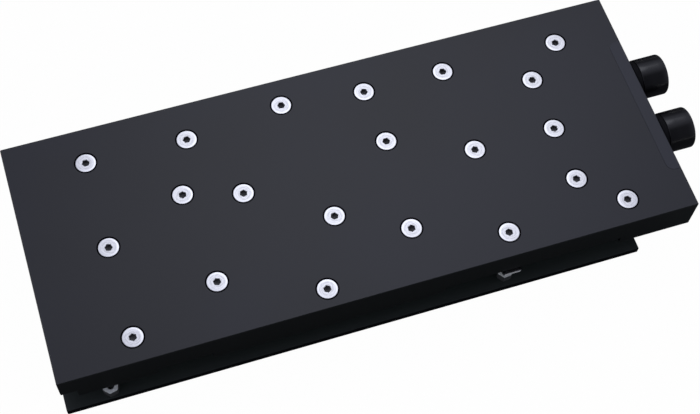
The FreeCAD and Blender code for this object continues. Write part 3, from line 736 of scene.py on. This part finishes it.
def slab(low: np.ndarray, high: np.ndarray, edge: float, crown: float) -> Grid:
    """A soft cut pad in a box.

    Its outline is a superellipse of power 12, x = a sign(cos t) |cos t|^(1/6) and the same for
    y with the sine, scaled by a row's factor. The rows run from the middle of the underside
    round a rounded edge to the middle of the top. A crown lifts both faces by 1 - factor
    squared, and the rounded edge is carried over a straight side by its sine to the power 1/4.

    Args:
        low: the box's lowest corner.
        high: its highest corner.
        edge: the rounding of its edges, in metres.
        crown: how far the two faces pull in at the edges, in metres.

    Returns:
        The surface.
    """
    middle, half = (low + high) / 2, (high - low) / 2
    columns, bends = 72, 9
    turn = np.linspace(0.0, 2 * np.pi, columns, endpoint=False) + np.pi / columns
    across = signed_power(np.cos(turn), 1 / 6)
    along = signed_power(np.sin(turn), 1 / 6)
    bend = np.linspace(-np.pi / 2, np.pi / 2, bends)
    inset = edge * (1 - np.cos(bend))
    flat = np.array([1e-6, 0.3, 0.6, 0.85])
    face = np.ones(len(flat))
    factor = np.concatenate([flat, 1 - inset / half[:2].min(), flat[::-1]])
    rise = np.concatenate([-face, np.sin(bend), face])
    sides = signed_power(rise, 1 / 4)
    crowned = np.sign(rise) * (np.abs(rise) > 0.99)
    body = half[2] - crown - edge
    height = sides * body + rise * edge + crowned * crown * (1 - factor ** 2)
    points = np.stack(
        [
            middle[0] + factor[:, None] * half[0] * across[None, :],
            middle[1] + factor[:, None] * half[1] * along[None, :],
            np.broadcast_to(middle[2] + height[:, None], (len(factor), len(turn))),
        ],
        axis=-1,
    )
    uv = np.zeros((len(factor), len(turn) + 1, 2))
    return Grid(points, uv, np.zeros(len(factor)))


def quads(
    below: np.ndarray, above: np.ndarray, left: np.ndarray, right: np.ndarray, columns: int
) -> np.ndarray:
    """Corner numbers of quads in an array of points.

    Args:
        below: the row of each quad's lower side.
        above: the row of its upper side.
        left: the column of its left side.
        right: the column of its right side.
        columns: how many points there are in a row.

    Returns:
        Four numbers for each quad, row times columns plus column, in order round it.
    """
    low, high = below * columns, above * columns
    return np.stack([low + left, low + right, high + right, high + left], axis=1)


def faces_of(grid: Grid) -> tuple[np.ndarray, np.ndarray]:
    """Corner numbers of a grid's quads.

    Args:
        grid: the surface.

    Returns:
        Two arrays of four corners a quad: into the points, whose columns wrap round, and into
        the uv, whose columns don't.
    """
    rows, columns = grid.points.shape[:2]
    strips = rows if grid.ringed else rows - 1
    below, left = (part.ravel() for part in np.indices((strips, columns)))
    above = (below + 1) % rows
    corners = quads(below, above, left, (left + 1) % columns, columns)
    return corners, quads(below, above, left, left + 1, columns + 1)


def store(items: Any, name: str, values: np.ndarray, kind: type = np.float32) -> None:
    """Set one property of every item of a mesh from an array."""
    items.foreach_set(name, values.astype(kind).ravel())


def make_piece(
    name: str,
    grids: Sequence[Grid],
    material: bpy.types.Material,
    nodes: Sequence[str],
) -> bpy.types.Object:
    """Make one object from grids, let it ride on the frame and stand for its CAD nodes.

    Args:
        name: the object's name.
        grids: its surfaces.
        material: its finish.
        nodes: the CAD nodes that it replaces.

    Returns:
        The new object, welded, with its faces outwards.
    """
    offset = 0
    points, corners, uvs, shades = [], [], [], []
    for grid in grids:
        faces, marks = faces_of(grid)
        corners.append(faces + offset)
        points.append(grid.points.reshape(-1, 3))
        uvs.append(grid.uv.reshape(-1, 2)[marks.ravel()])
        shades.append(np.repeat(grid.shade, grid.points.shape[1]))
        offset += len(points[-1])
    places, loops = np.concatenate(points), np.concatenate(corners)
    mesh = bpy.data.meshes.new(name)
    mesh.vertices.add(len(places))
    store(mesh.vertices, "co", places)
    mesh.loops.add(loops.size)
    store(mesh.loops, "vertex_index", loops, np.int32)
    mesh.polygons.add(len(loops))
    store(mesh.polygons, "loop_start", np.arange(0, loops.size, 4), np.int32)
    mesh.update(calc_edges=True)
    store(mesh.uv_layers.new(name="turning").data, "uv", np.concatenate(uvs))
    store(mesh.attributes.new("shade", "FLOAT", "POINT").data, "value", np.concatenate(shades))
    weld(mesh)
    store(mesh.polygons, "use_smooth", np.ones(len(mesh.polygons)), bool)
    mesh.set_sharp_from_angle(angle=math.radians(SHARP))
    piece = bpy.data.objects.new(name, mesh)
    bpy.context.scene.collection.objects.link(piece)
    mesh.materials.append(material)
    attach(piece, "root")
    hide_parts(*nodes)
    return piece


def weld(mesh: bpy.types.Mesh) -> None:
    """Join points that share a place, so that seams and poles close, and turn faces outwards.

    Args:
        mesh: the mesh, which is changed in place.
    """
    work = bmesh.new()
    work.from_mesh(mesh)
    bmesh.ops.remove_doubles(work, verts=work.verts, dist=WELD)
    bmesh.ops.dissolve_degenerate(work, edges=work.edges, dist=WELD)
    bmesh.ops.recalc_face_normals(work, faces=work.faces)
    work.to_mesh(mesh)
    work.free()


def solids(node: str) -> list[np.ndarray]:
    """Points of each separate solid of a CAD node.

    Points that share a place count as one. Every point then takes the lowest label among the
    corners of its triangles, again and again, until each solid has one label.

    Args:
        node: the node's name.

    Returns:
        One array of points for each solid, in metres.
    """
    mesh = frame["nodes"][node].data
    points = np.empty(len(mesh.vertices) * 3, np.float32)
    mesh.vertices.foreach_get("co", points)
    corners = np.empty(len(mesh.loops), np.int32)
    mesh.loops.foreach_get("vertex_index", corners)
    places, index = np.unique(np.round(points.reshape(-1, 3), 7), axis=0, return_inverse=True)
    triangles = index.ravel()[corners].reshape(-1, 3)
    labels = np.arange(len(places))
    settled = False
    while not settled:
        lowest = np.repeat(labels[triangles].min(axis=1), 3)
        updated = labels.copy()
        np.minimum.at(updated, triangles.ravel(), lowest)
        updated = updated[updated]
        settled = bool((updated == labels).all())
        labels = updated
    return [places[labels == label].astype(float) for label in np.unique(labels)]


def spots(node: str) -> list[np.ndarray]:
    """Where the separate solids of a CAD node stand.

    Args:
        node: the node's name.

    Returns:
        For each solid its centre in plan and the level of its lowest point, in metres.
    """
    found = []
    for points in solids(node):
        low, high = points.min(axis=0), points.max(axis=0)
        found.append(np.array([*(low[:2] + high[:2]) / 2, low[2]]))
    return found


def dress(node: str, material: bpy.types.Material) -> None:
    """Give a CAD node that keeps its solid its finish."""
    for holder in frame["nodes"][node].material_slots:
        holder.material = material


# Sub-assemblies ---------------------------------------------------------------------------

class SubAssembly:
    """One part of the cold plate: it builds its new meshes and dresses the solids it keeps."""

    def make(self) -> None:
        """Build, dress and report."""
        before = set(bpy.data.objects)
        self.build()
        self.dress()
        made = [item for item in bpy.data.objects if item not in before]
        for item in made:
            LOG.info("%s: %s, %d faces", type(self).__name__, item.name, len(item.data.polygons))
        if not made:
            LOG.info("%s: dressed", type(self).__name__)

    def build(self) -> None:
        """Build new meshes, where the sub-assembly has any."""

    def dress(self) -> None:
        """Give finishes to kept solids, where the sub-assembly has any."""


@dataclass
class Cover(SubAssembly):
    """The milled acetal cover, which keeps its solid."""

    node: str = "top_cover"
    pad_rise: float = 0.1

    def dress(self) -> None:
        """The finish needs the cover's box for its masks."""
        low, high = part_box(self.node)
        finish = MilledAcetal(
            "milled_acetal",
            (0.0085, 0.009, 0.0125),
            0.37,
            low=tuple(low),
            high=tuple(high),
            top=high.z - self.pad_rise * MM,
        )
        dress(self.node, finish.material())


@dataclass
class CountersunkScrews(SubAssembly):
    """A set of equal countersunk screws with hexagon sockets, in millimetres.

    The thread's depth is a share of its pitch, the socket's lead and the depth of its drilled
    point are shares of the key's size, and turn_step is the angle in radians from screw to
    screw.
    """

    node: str
    finish: Finish
    slot: str
    head: float
    shank: float
    length: float
    drive: float
    drive_depth: float
    pitch: float
    land: float
    axis: Axis = Axis.UP
    rim: float = 0.12
    segments: int = 60
    thread_share: float = 0.55
    lead_share: float = 0.06
    point_share: float = 0.3
    turn_step: float = 2.4

    def build(self) -> None:
        """Turn one screw with its tip at 0 and copy it to each place, each turned differently."""
        screw = self.contour().turned(self.segments, self.length)
        grids = []
        for number, (x, y, low) in enumerate(spots(self.node)):
            level = low if self.axis is Axis.UP else low + self.length * MM
            grids.append(screw.moved((x, y, level), self.axis, self.turn_step * number))
        make_piece(self.node + "_turned", grids, self.finish.material(), [self.node])

    def contour(self) -> Contour:
        """Half section of one screw.

        Returns:
            The contour from the tip up the thread, over the head and down into the socket,
            whose shade deepens with its depth.
        """
        head, shank, top = self.head / 2, self.shank / 2, self.length
        neck = top - self.land - (head - shank)
        key = self.drive / 2
        root = shank - self.thread_share * self.pitch
        lead = self.lead_share * self.drive
        floor = top - self.drive_depth
        contour = Contour().to(0.0, 0.0).to(root, 0.0)
        contour.thread(shank, root, 0.5 * self.pitch, neck - self.pitch, self.pitch)
        contour.to(shank, neck - 0.5 * self.pitch).to(shank, neck).to(head, top - self.land)
        contour.edge(head, top, self.rim)
        contour.to(0.5 * (head + key), top).to(key + 1.3 * lead, top)
        contour.to(key + lead, top, 1.0, 0.2).to(key, top - lead, 1.0, 0.55)
        contour.to(key, 0.5 * (top + floor), 1.0, 0.9).to(key, floor, 1.0, 1.0)
        return contour.to(0.0, floor - self.point_share * self.drive, 0.0, 1.0)


@dataclass
class PortFitting(SubAssembly):
    """A G1/4 extension and the flat ring under it, in millimetres along the port's axis.

    The thread's depth is a share of its pitch. A level counts from the end in the cover.
    """

    port: str
    finish: Finish
    rubber: Finish
    edge: float = 0.7
    shoulder_edge: float = 0.25
    bore: float = 4.0
    major: float = 6.58
    crest_play: float = 0.1
    pitch: float = 1.337
    thread_share: float = 0.6
    lead_in: float = 0.4
    run_out: float = 1.0
    undercut: float = 0.6
    socket: float = 7.0
    socket_lead_in: float = 0.8
    socket_run_out: float = 0.5
    countersink: float = 0.45
    key: float = 4.5
    key_rim: float = 0.9
    key_depth: float = 2.0
    bulge: float = 0.45
    ring_grip: float = 0.02
    segments: int = 96

    def build(self) -> None:
        """Turn the barrel and the ring that it presses, and lay both along the port's axis."""
        low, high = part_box(self.port + "_fitting")
        ring_low, ring_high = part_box(self.port + "_seal")
        radius, length = (high.y - low.y) / 2 / MM, (high.x - low.x) / MM
        outer, thick = (ring_high.y - ring_low.y) / 2 / MM, (ring_high.x - ring_low.x) / MM
        barrel = self.barrel(radius, length, (ring_high.x - low.x) / MM)
        ring = self.ring(outer, thick)
        middle = ((low.y + high.y) / 2, (low.z + high.z) / 2)
        self.lay("fitting_turned", barrel, length, (low.x, *middle), self.finish, "fitting")
        self.lay("seal_moulded", ring, thick, (ring_low.x, *middle), self.rubber, "seal")

    def barrel(self, radius: float, length: float, shoulder: float) -> Contour:
        """Half section of the extension.

        Args:
            radius: its outer radius.
            length: its whole length.
            shoulder: the level of the face that presses the ring.

        Returns:
            The contour: male thread, barrel, then the socket's thread and the key inside it.
        """
        root = self.major - self.thread_share * self.pitch
        body = length - shoulder
        floor = length - self.socket
        contour = Contour().to(self.bore, 0.0, shade=0.6).to(root, 0.0)
        crest, stop = self.major - self.crest_play, shoulder - self.run_out
        contour.thread(crest, root, self.lead_in, stop, self.pitch)
        contour.to(root, shoulder - self.undercut).to(root, shoulder)
        contour.edge(radius, shoulder, self.shoulder_edge, top=False)
        contour.to(radius, shoulder + 0.35 * body).to(radius, shoulder + 0.7 * body)
        contour.edge(radius, length, self.edge)
        contour.to(self.major + self.countersink, length).to(self.major, length - self.countersink)
        start, stop = length - self.socket_lead_in, floor + self.socket_run_out
        contour.thread(root, self.major, start, stop, self.pitch, shade=0.4)
        contour.to(root, floor, shade=0.8).to(self.key + self.key_rim, floor, shade=0.8)
        contour.to(self.key, floor, 1.0, 0.8).to(self.key, floor - self.key_depth, 1.0, 1.0)
        return contour.to(self.bore, floor - self.key_depth, shade=1.0)

    def ring(self, outer: float, thick: float) -> Contour:
        """Half section of the flat ring, with its outer edge swollen.

        Args:
            outer: its outer radius.
            thick: its thickness.

        Returns:
            The contour.
        """
        inner = self.major - self.ring_grip
        ring = Contour().to(inner, 0.0).edge(outer, 0.0, self.bulge, top=False)
        return ring.edge(outer, thick, self.bulge).to(inner, thick)

    def lay(
        self, name: str, contour: Contour, end: float, place: Place, finish: Finish, slot: str
    ) -> None:
        """Turn a contour and lay it along the port's axis.

        Args:
            name: the piece's name, after the port's.
            contour: its half section.
            end: the level of its end face.
            place: where its first level lies, in metres.
            finish: its finish.
            slot: the end of the CAD node's name that the piece replaces.
        """
        grid = contour.turned(self.segments, end, ringed=True).moved(place, Axis.ALONG)
        make_piece(
            f"{self.port}_{name}", [grid], finish.material(), [f"{self.port}_{slot}"]
        )


@dataclass
class HexStandoffs(SubAssembly):
    """A set of equal hexagon standoffs, their corners bevelled as bar stock is, in millimetres.

    turn is the angle in degrees from X to a corner. A contour's first column is the middle of
    a flat, half a flat further on.
    """

    node: str
    finish: Finish
    bore: float
    turn: float
    across: float = 5.5
    height: float = 3.6
    bevel: float = 0.15
    burr: float = 0.04
    countersink: float = 0.2
    flat_shade: float = 1.0
    segments: int = 48

    def build(self) -> None:
        """Turn one hexagon round its bore and copy it to each place."""
        half, top, sink = self.across / 2, self.height, self.countersink
        corner = half / math.cos(math.pi / 6)
        blunt, capped = corner - 0.8 * self.bevel, corner - self.bevel
        mouth, face = self.bore + sink, half - self.burr
        contour = Contour().to(self.bore, sink, shade=0.5).to(mouth, 0.0)
        # The flats carry painted shade, so that they stay dark while the end faces show bright.
        contour.to(face, 0.0, 1.0, limit=capped).to(half, self.burr, 1.0, self.flat_shade, blunt)
        contour.to(half, self.bevel, 1.0, self.flat_shade, corner)
        contour.to(half, top - self.bevel, 1.0, self.flat_shade, corner)
        contour.to(half, top - self.burr, 1.0, self.flat_shade, blunt).to(face, top, 1.0, limit=capped)
        contour.to(mouth, top).to(self.bore, top - sink, shade=0.5)
        contour.to(self.bore, top / 2, shade=1.0)
        standoff = contour.turned(self.segments, top, ringed=True)
        turn = math.radians(self.turn) + math.pi / 6
        grids = [standoff.moved(spot, turn=turn) for spot in spots(self.node)]
        make_piece(self.node + "_turned", grids, self.finish.material(), [self.node])


@dataclass
class Posts(SubAssembly):
    """Brass posts under the cold plate: a turned collar, a waist and a stud, in millimetres."""

    finish: Finish
    node: str = "plate_posts"
    radius: float = 2.3
    height: float = 2.8
    stud: float = 1.8
    stud_length: float = 1.0
    bore: float = 1.27
    countersink: float = 0.25
    foot_edge: float = 0.2
    head_edge: float = 0.15
    waist_levels: tuple[float, float, float, float] = (1.1, 1.25, 1.6, 1.75)
    waist_depth: float = 0.2
    segments: int = 60

    def build(self) -> None:
        """Turn one post and copy it to each place."""
        top = self.height + self.stud_length
        waist = self.radius - self.waist_depth
        contour = Contour().to(self.bore, self.countersink, shade=0.7)
        contour.to(self.bore + self.countersink, 0.0)
        contour.edge(self.radius, 0.0, self.foot_edge, top=False)
        for radius, level in zip((self.radius, waist, waist, self.radius), self.waist_levels):
            contour.to(radius, level)
        contour.edge(self.radius, self.height, self.head_edge)
        contour.to(self.stud, self.height).to(self.stud, top).to(self.bore, top)
        contour.to(self.bore, 1.5, shade=1.0)
        post = contour.turned(self.segments, ringed=True)
        grids = [post.moved(spot) for spot in spots(self.node)]
        make_piece(self.node + "_turned", grids, self.finish.material(), [self.node])


@dataclass
class ThermalPads(SubAssembly):
    """All soft pads between the cold plate, the card and the backplate."""

    finish: Finish
    nodes: tuple[str, ...] = ("gpu_pad", "memory_pads", "vrm_pads", "choke_pad", "backplate_pads")
    edge: float = 0.25
    edge_share: float = 0.3
    crown: float = 0.04
    crown_share: float = 0.1

    def build(self) -> None:
        """One soft slab for each solid of each node."""
        material = self.finish.material()
        for node in self.nodes:
            grids = [self.pad(points) for points in solids(node)]
            make_piece(node + "_soft", grids, material, [node])

    def pad(self, points: np.ndarray) -> Grid:
        """One pad in the box of a solid.

        Args:
            points: the solid's points.

        Returns:
            The pad, its edge and crown no more than shares of its thickness.
        """
        low, high = points.min(axis=0), points.max(axis=0)
        thick = high[2] - low[2]
        edge = min(self.edge * MM, self.edge_share * thick)
        return slab(low, high, edge, min(self.crown * MM, self.crown_share * thick))


@dataclass
class ColdPlate(SubAssembly):
    """The nickel plated plate with its fins, the bridge plate, the seals and the dowels."""

    nickel: Finish
    steel: Finish
    rubber: Finish

    def dress(self) -> None:
        """These keep their solids."""
        low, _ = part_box("cold_plate")
        dress("cold_plate", replace(self.nickel, front=low.y).material())
        steel, rubber = self.steel.material(), self.rubber.material()
        for node in ("fin_bridge_plate", "locating_pins"):
            dress(node, steel)
        for node in ("main_seal", "fin_bridge_gasket"):
            dress(node, rubber)


@dataclass
class Backplate(SubAssembly):
    """The black backplate, which keeps its solid."""

    node: str = "backplate"

    def dress(self) -> None:
        """The finish needs the plate's box for its worn edges."""
        low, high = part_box(self.node)
        finish = BlastedAnodising(
            "blasted_anodising",
            (0.020, 0.0255, 0.024),
            0.5,
            low=tuple(low),
            high=tuple(high),
        )
        dress(self.node, finish.material())


# Studio -----------------------------------------------------------------------------------

@dataclass(frozen=True)
class Lamp:
    """A rectangular area lamp that looks at the frame's origin: its place, sides and power."""

    name: str
    place: Place
    size: tuple[float, float]
    watts: float
    colour: Colour = (0.93, 0.96, 1.0)

    def hang(self) -> bpy.types.Object:
        """Add the lamp to the scene.

        Returns:
            The lamp.
        """
        data = bpy.data.lights.new(self.name, "AREA")
        data.shape = "RECTANGLE"
        data.size, data.size_y = self.size
        data.energy = self.watts
        data.color = self.colour
        lamp = bpy.data.objects.new(self.name, data)
        bpy.context.scene.collection.objects.link(lamp)
        look = Vector() - Vector(self.place)
        turn = look.to_track_quat("-Z", "Y").to_matrix().to_4x4()
        lamp.matrix_world = Matrix.Translation(self.place) @ turn
        return lamp


@dataclass
class Studio:
    """Camera, lamps, world and floor, in metres.

    mirror points at the brightest spot of the world, which lies about where the camera sees the
    world in faces that look up. dim, pool, spot and sides are how bright the world is far from
    it, how much a wide pool round it and the spot itself add, and how bright its two sides are.
    card is the lowest X and Y and the highest X and Y of the card on the floor.
    """

    location: Place = (-0.08288, -0.24733, 0.49147)
    forward: Place = (0.16501, 0.42408, -0.89047)
    up: Place = (0.25828, 0.85276, 0.45398)
    lens: float = 71.06
    sensor: float = 36.0
    shift: tuple[float, float] = (0.0107, 0.0150)
    key: Lamp = Lamp("key", (0.22, 0.47, 0.92), (0.6, 0.5), 0.6)
    fill: Lamp = Lamp("fill", (0.0, -0.9, 0.5), (0.8, 0.4), 1.5)
    sky: Colour = (0.94, 0.97, 1.17)
    mirror: Place = (0.135, 0.44, 0.888)
    dim: float = 0.08
    pool: float = 0.43
    spot: float = 1.95
    sides: float = 0.62
    floor_size: float = 6.0
    floor_drop: float = 0.05 * MM
    floor_white: float = 0.9
    floor_grey: float = 0.22
    floor_glow: float = 0.985
    card: tuple[float, float, float, float] = (-0.16, -0.6, 0.9, 0.9)
    card_grey: float = 0.09

    def set_camera(self) -> None:
        """Place the camera. Right is forward times up, and up is made square to both."""
        data = bpy.data.cameras.new("camera")
        data.lens = self.lens
        data.sensor_width = self.sensor
        data.shift_x, data.shift_y = self.shift
        data.clip_start, data.clip_end = 0.01, 50.0
        camera = bpy.data.objects.new("camera", data)
        bpy.context.scene.collection.objects.link(camera)
        forward = Vector(self.forward).normalized()
        right = forward.cross(Vector(self.up)).normalized()
        above = right.cross(forward)
        turn = Matrix((right, above, -forward)).transposed().to_4x4()
        camera.matrix_world = Matrix.Translation(self.location) @ turn
        bpy.context.scene.camera = camera

    def light(self) -> None:
        """A key lamp behind, a low fill in front for the gap, and a world of soft light.

        The fill reaches matt faces only, so that it leaves no mark on the polished ones. The
        world is brightest where the flat faces mirror it, and its sides glow down to the floor.
        """
        self.key.hang()
        self.fill.hang().visible_glossy = False
        world = bpy.data.worlds.new("studio")
        bpy.context.scene.world = world
        world.use_nodes = True
        graph = Graph(world.node_tree)
        x, y, z = graph.split(graph.node("ShaderNodeTexCoord").outputs["Generated"])
        facing = self.mirror[0] * x + self.mirror[1] * y + self.mirror[2] * z
        pool = self.pool * facing.rise(0.66, 0.99)
        ceiling = self.dim + pool + self.spot * facing.rise(0.968, 1.0)
        level = ceiling.maximum(self.sides * (x * x).rise(0.12, 0.5) * z.rise(-0.02, 0.12))
        background = next(n for n in world.node_tree.nodes if n.type == "BACKGROUND")
        graph.plug(background.inputs["Color"], graph.mix(level, (0.0, 0.0, 0.0), self.sky))
        background.inputs["Strength"].default_value = 1.0

    def lay_floor(self) -> None:
        """A pale floor that shows white and keeps a trace of the shadow.

        The camera and reflections see a glow with a little of the matt white in it, and all
        other light falls on a darker grey, so that the floor throws little light back.
        """
        half = self.floor_size / 2
        floor = self.add_sheet("floor", (-half, -half, half, half), -self.floor_drop)
        material = bpy.data.materials.new("pale_floor")
        material.use_nodes = True
        material.node_tree.nodes.clear()
        graph = Graph(material.node_tree)
        rays = graph.node("ShaderNodeLightPath").outputs
        camera, glossy, through = (
            Number(graph, rays[f"Is {ray} Ray"]) for ray in ("Camera", "Glossy", "Transmission")
        )
        seen = camera.maximum(glossy).maximum(through)
        white = graph.matt((self.floor_white,) * 3)
        grey = graph.matt((self.floor_grey,) * 3)
        glow = graph.node("ShaderNodeEmission", None, {"Color": (1.0, 1.0, 1.0, 1.0)}).outputs[0]
        pale = graph.shaders(self.floor_glow, white, glow)
        surface = graph.shaders(seen, grey, pale)
        graph.node("ShaderNodeOutputMaterial", None, {"Surface": surface})
        floor.data.materials.append(material)

    def lay_card(self) -> None:
        """A dark grey card on the floor, under the part and on all sides of it but the left.

        It is negative fill: only reflections see it, so that the black walls stay black.
        """
        card = self.add_sheet("card", self.card, -0.5 * self.floor_drop)
        card.visible_camera = False
        card.visible_diffuse = False
        card.visible_shadow = False
        card.visible_transmission = False
        material = bpy.data.materials.new("grey_card")
        material.use_nodes = True
        shader = next(n for n in material.node_tree.nodes if n.type == "BSDF_PRINCIPLED")
        graph = Graph(material.node_tree, shader)
        graph.feed("Base Color", (self.card_grey, self.card_grey, self.card_grey, 1.0))
        graph.feed("Specular IOR Level", 0.0)
        card.data.materials.append(material)

    def add_sheet(self, name: str, plan: Sequence[float], level: float) -> bpy.types.Object:
        """Add a flat stage sheet.

        Args:
            name: the sheet's name.
            plan: its lowest X and Y and its highest X and Y, in metres.
            level: its Z.

        Returns:
            The sheet, kept off the part.
        """
        left, front, right, back = plan
        outline = ((left, front), (right, front), (right, back), (left, back))
        mesh = bpy.data.meshes.new(name)
        mesh.from_pydata([(x, y, level) for x, y in outline], [], [(0, 1, 2, 3)])
        sheet = bpy.data.objects.new(name, mesh)
        bpy.context.scene.collection.objects.link(sheet)
        return sheet


# Main -------------------------------------------------------------------------------------

def sub_assemblies() -> list[SubAssembly]:
    """Every sub-assembly with its finishes, from the cover down to the backplate.

    Returns:
        The sub-assemblies, ready to make.
    """
    bright = TurnedMetal("turned_steel", (0.975, 0.97, 0.975), 0.33, 1.0, facing=3.9)
    small = TurnedMetal("turned_steel_small", (0.72, 0.73, 0.76), 0.3, 1.0)
    # The standoffs' painted shade darkens their flats almost to black.
    standoff = TurnedMetal("bar_stock", (0.92, 0.95, 0.95), 0.5, 0.15, shade_gain=0.06)
    brass = TurnedMetal("turned_brass", (0.78, 0.62, 0.32), 0.26, 1.0)
    plating = TurnedMetal(
        "black_plating", (0.004, 0.004, 0.005), 0.22, specular=0.62, ring_depth=0.0005 * MM
    )
    nickel = LappedMetal("nickel_plate", (0.80, 0.80, 0.79), 0.22, 1.0)
    sheet = LappedMetal("spring_steel", (0.66, 0.67, 0.68), 0.3, 1.0)
    rubber = MouldedRubber("seal_rubber", (0.004, 0.004, 0.005), 0.8, specular=0.2)
    filler = GapFiller("gap_filler", (0.42, 0.46, 0.5), 0.85)
    cover_screws = CountersunkScrews(
        "cover_screws", bright, "steel",
        head=7.8, shank=4.0, length=15.0, drive=2.5, drive_depth=1.6, pitch=0.7, land=0.5,
    )
    clamp_screws = CountersunkScrews(
        "backplate_screws", small, "steel",
        head=4.7, shank=2.5, length=12.0, drive=1.5, drive_depth=0.9, pitch=0.45, land=0.2,
        axis=Axis.DOWN, rim=0.06, segments=36,
    )
    return [
        Cover(),
        cover_screws,
        PortFitting("inlet", plating, rubber),
        PortFitting("outlet", plating, rubber),
        ColdPlate(nickel, sheet, rubber),
        Posts(brass),
        HexStandoffs("card_standoffs", standoff, bore=1.45, turn=7.0),
        HexStandoffs("bracket_standoffs", standoff, bore=1.27, turn=13.5),
        ThermalPads(filler),
        Backplate(),
        clamp_screws,
        replace(clamp_screws, node="bracket_screws", length=5.0),
    ]


def main() -> None:
    """Build everything in order and set the studio."""
    logging.basicConfig(level=logging.INFO, format="%(name)s %(message)s")
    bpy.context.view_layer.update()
    bpy.context.scene.view_settings.view_transform = "Standard"
    for part in sub_assemblies():
        part.make()
    studio = Studio()
    studio.set_camera()
    studio.light()
    studio.lay_floor()
    studio.lay_card()


if __name__ == "__main__":
    main()
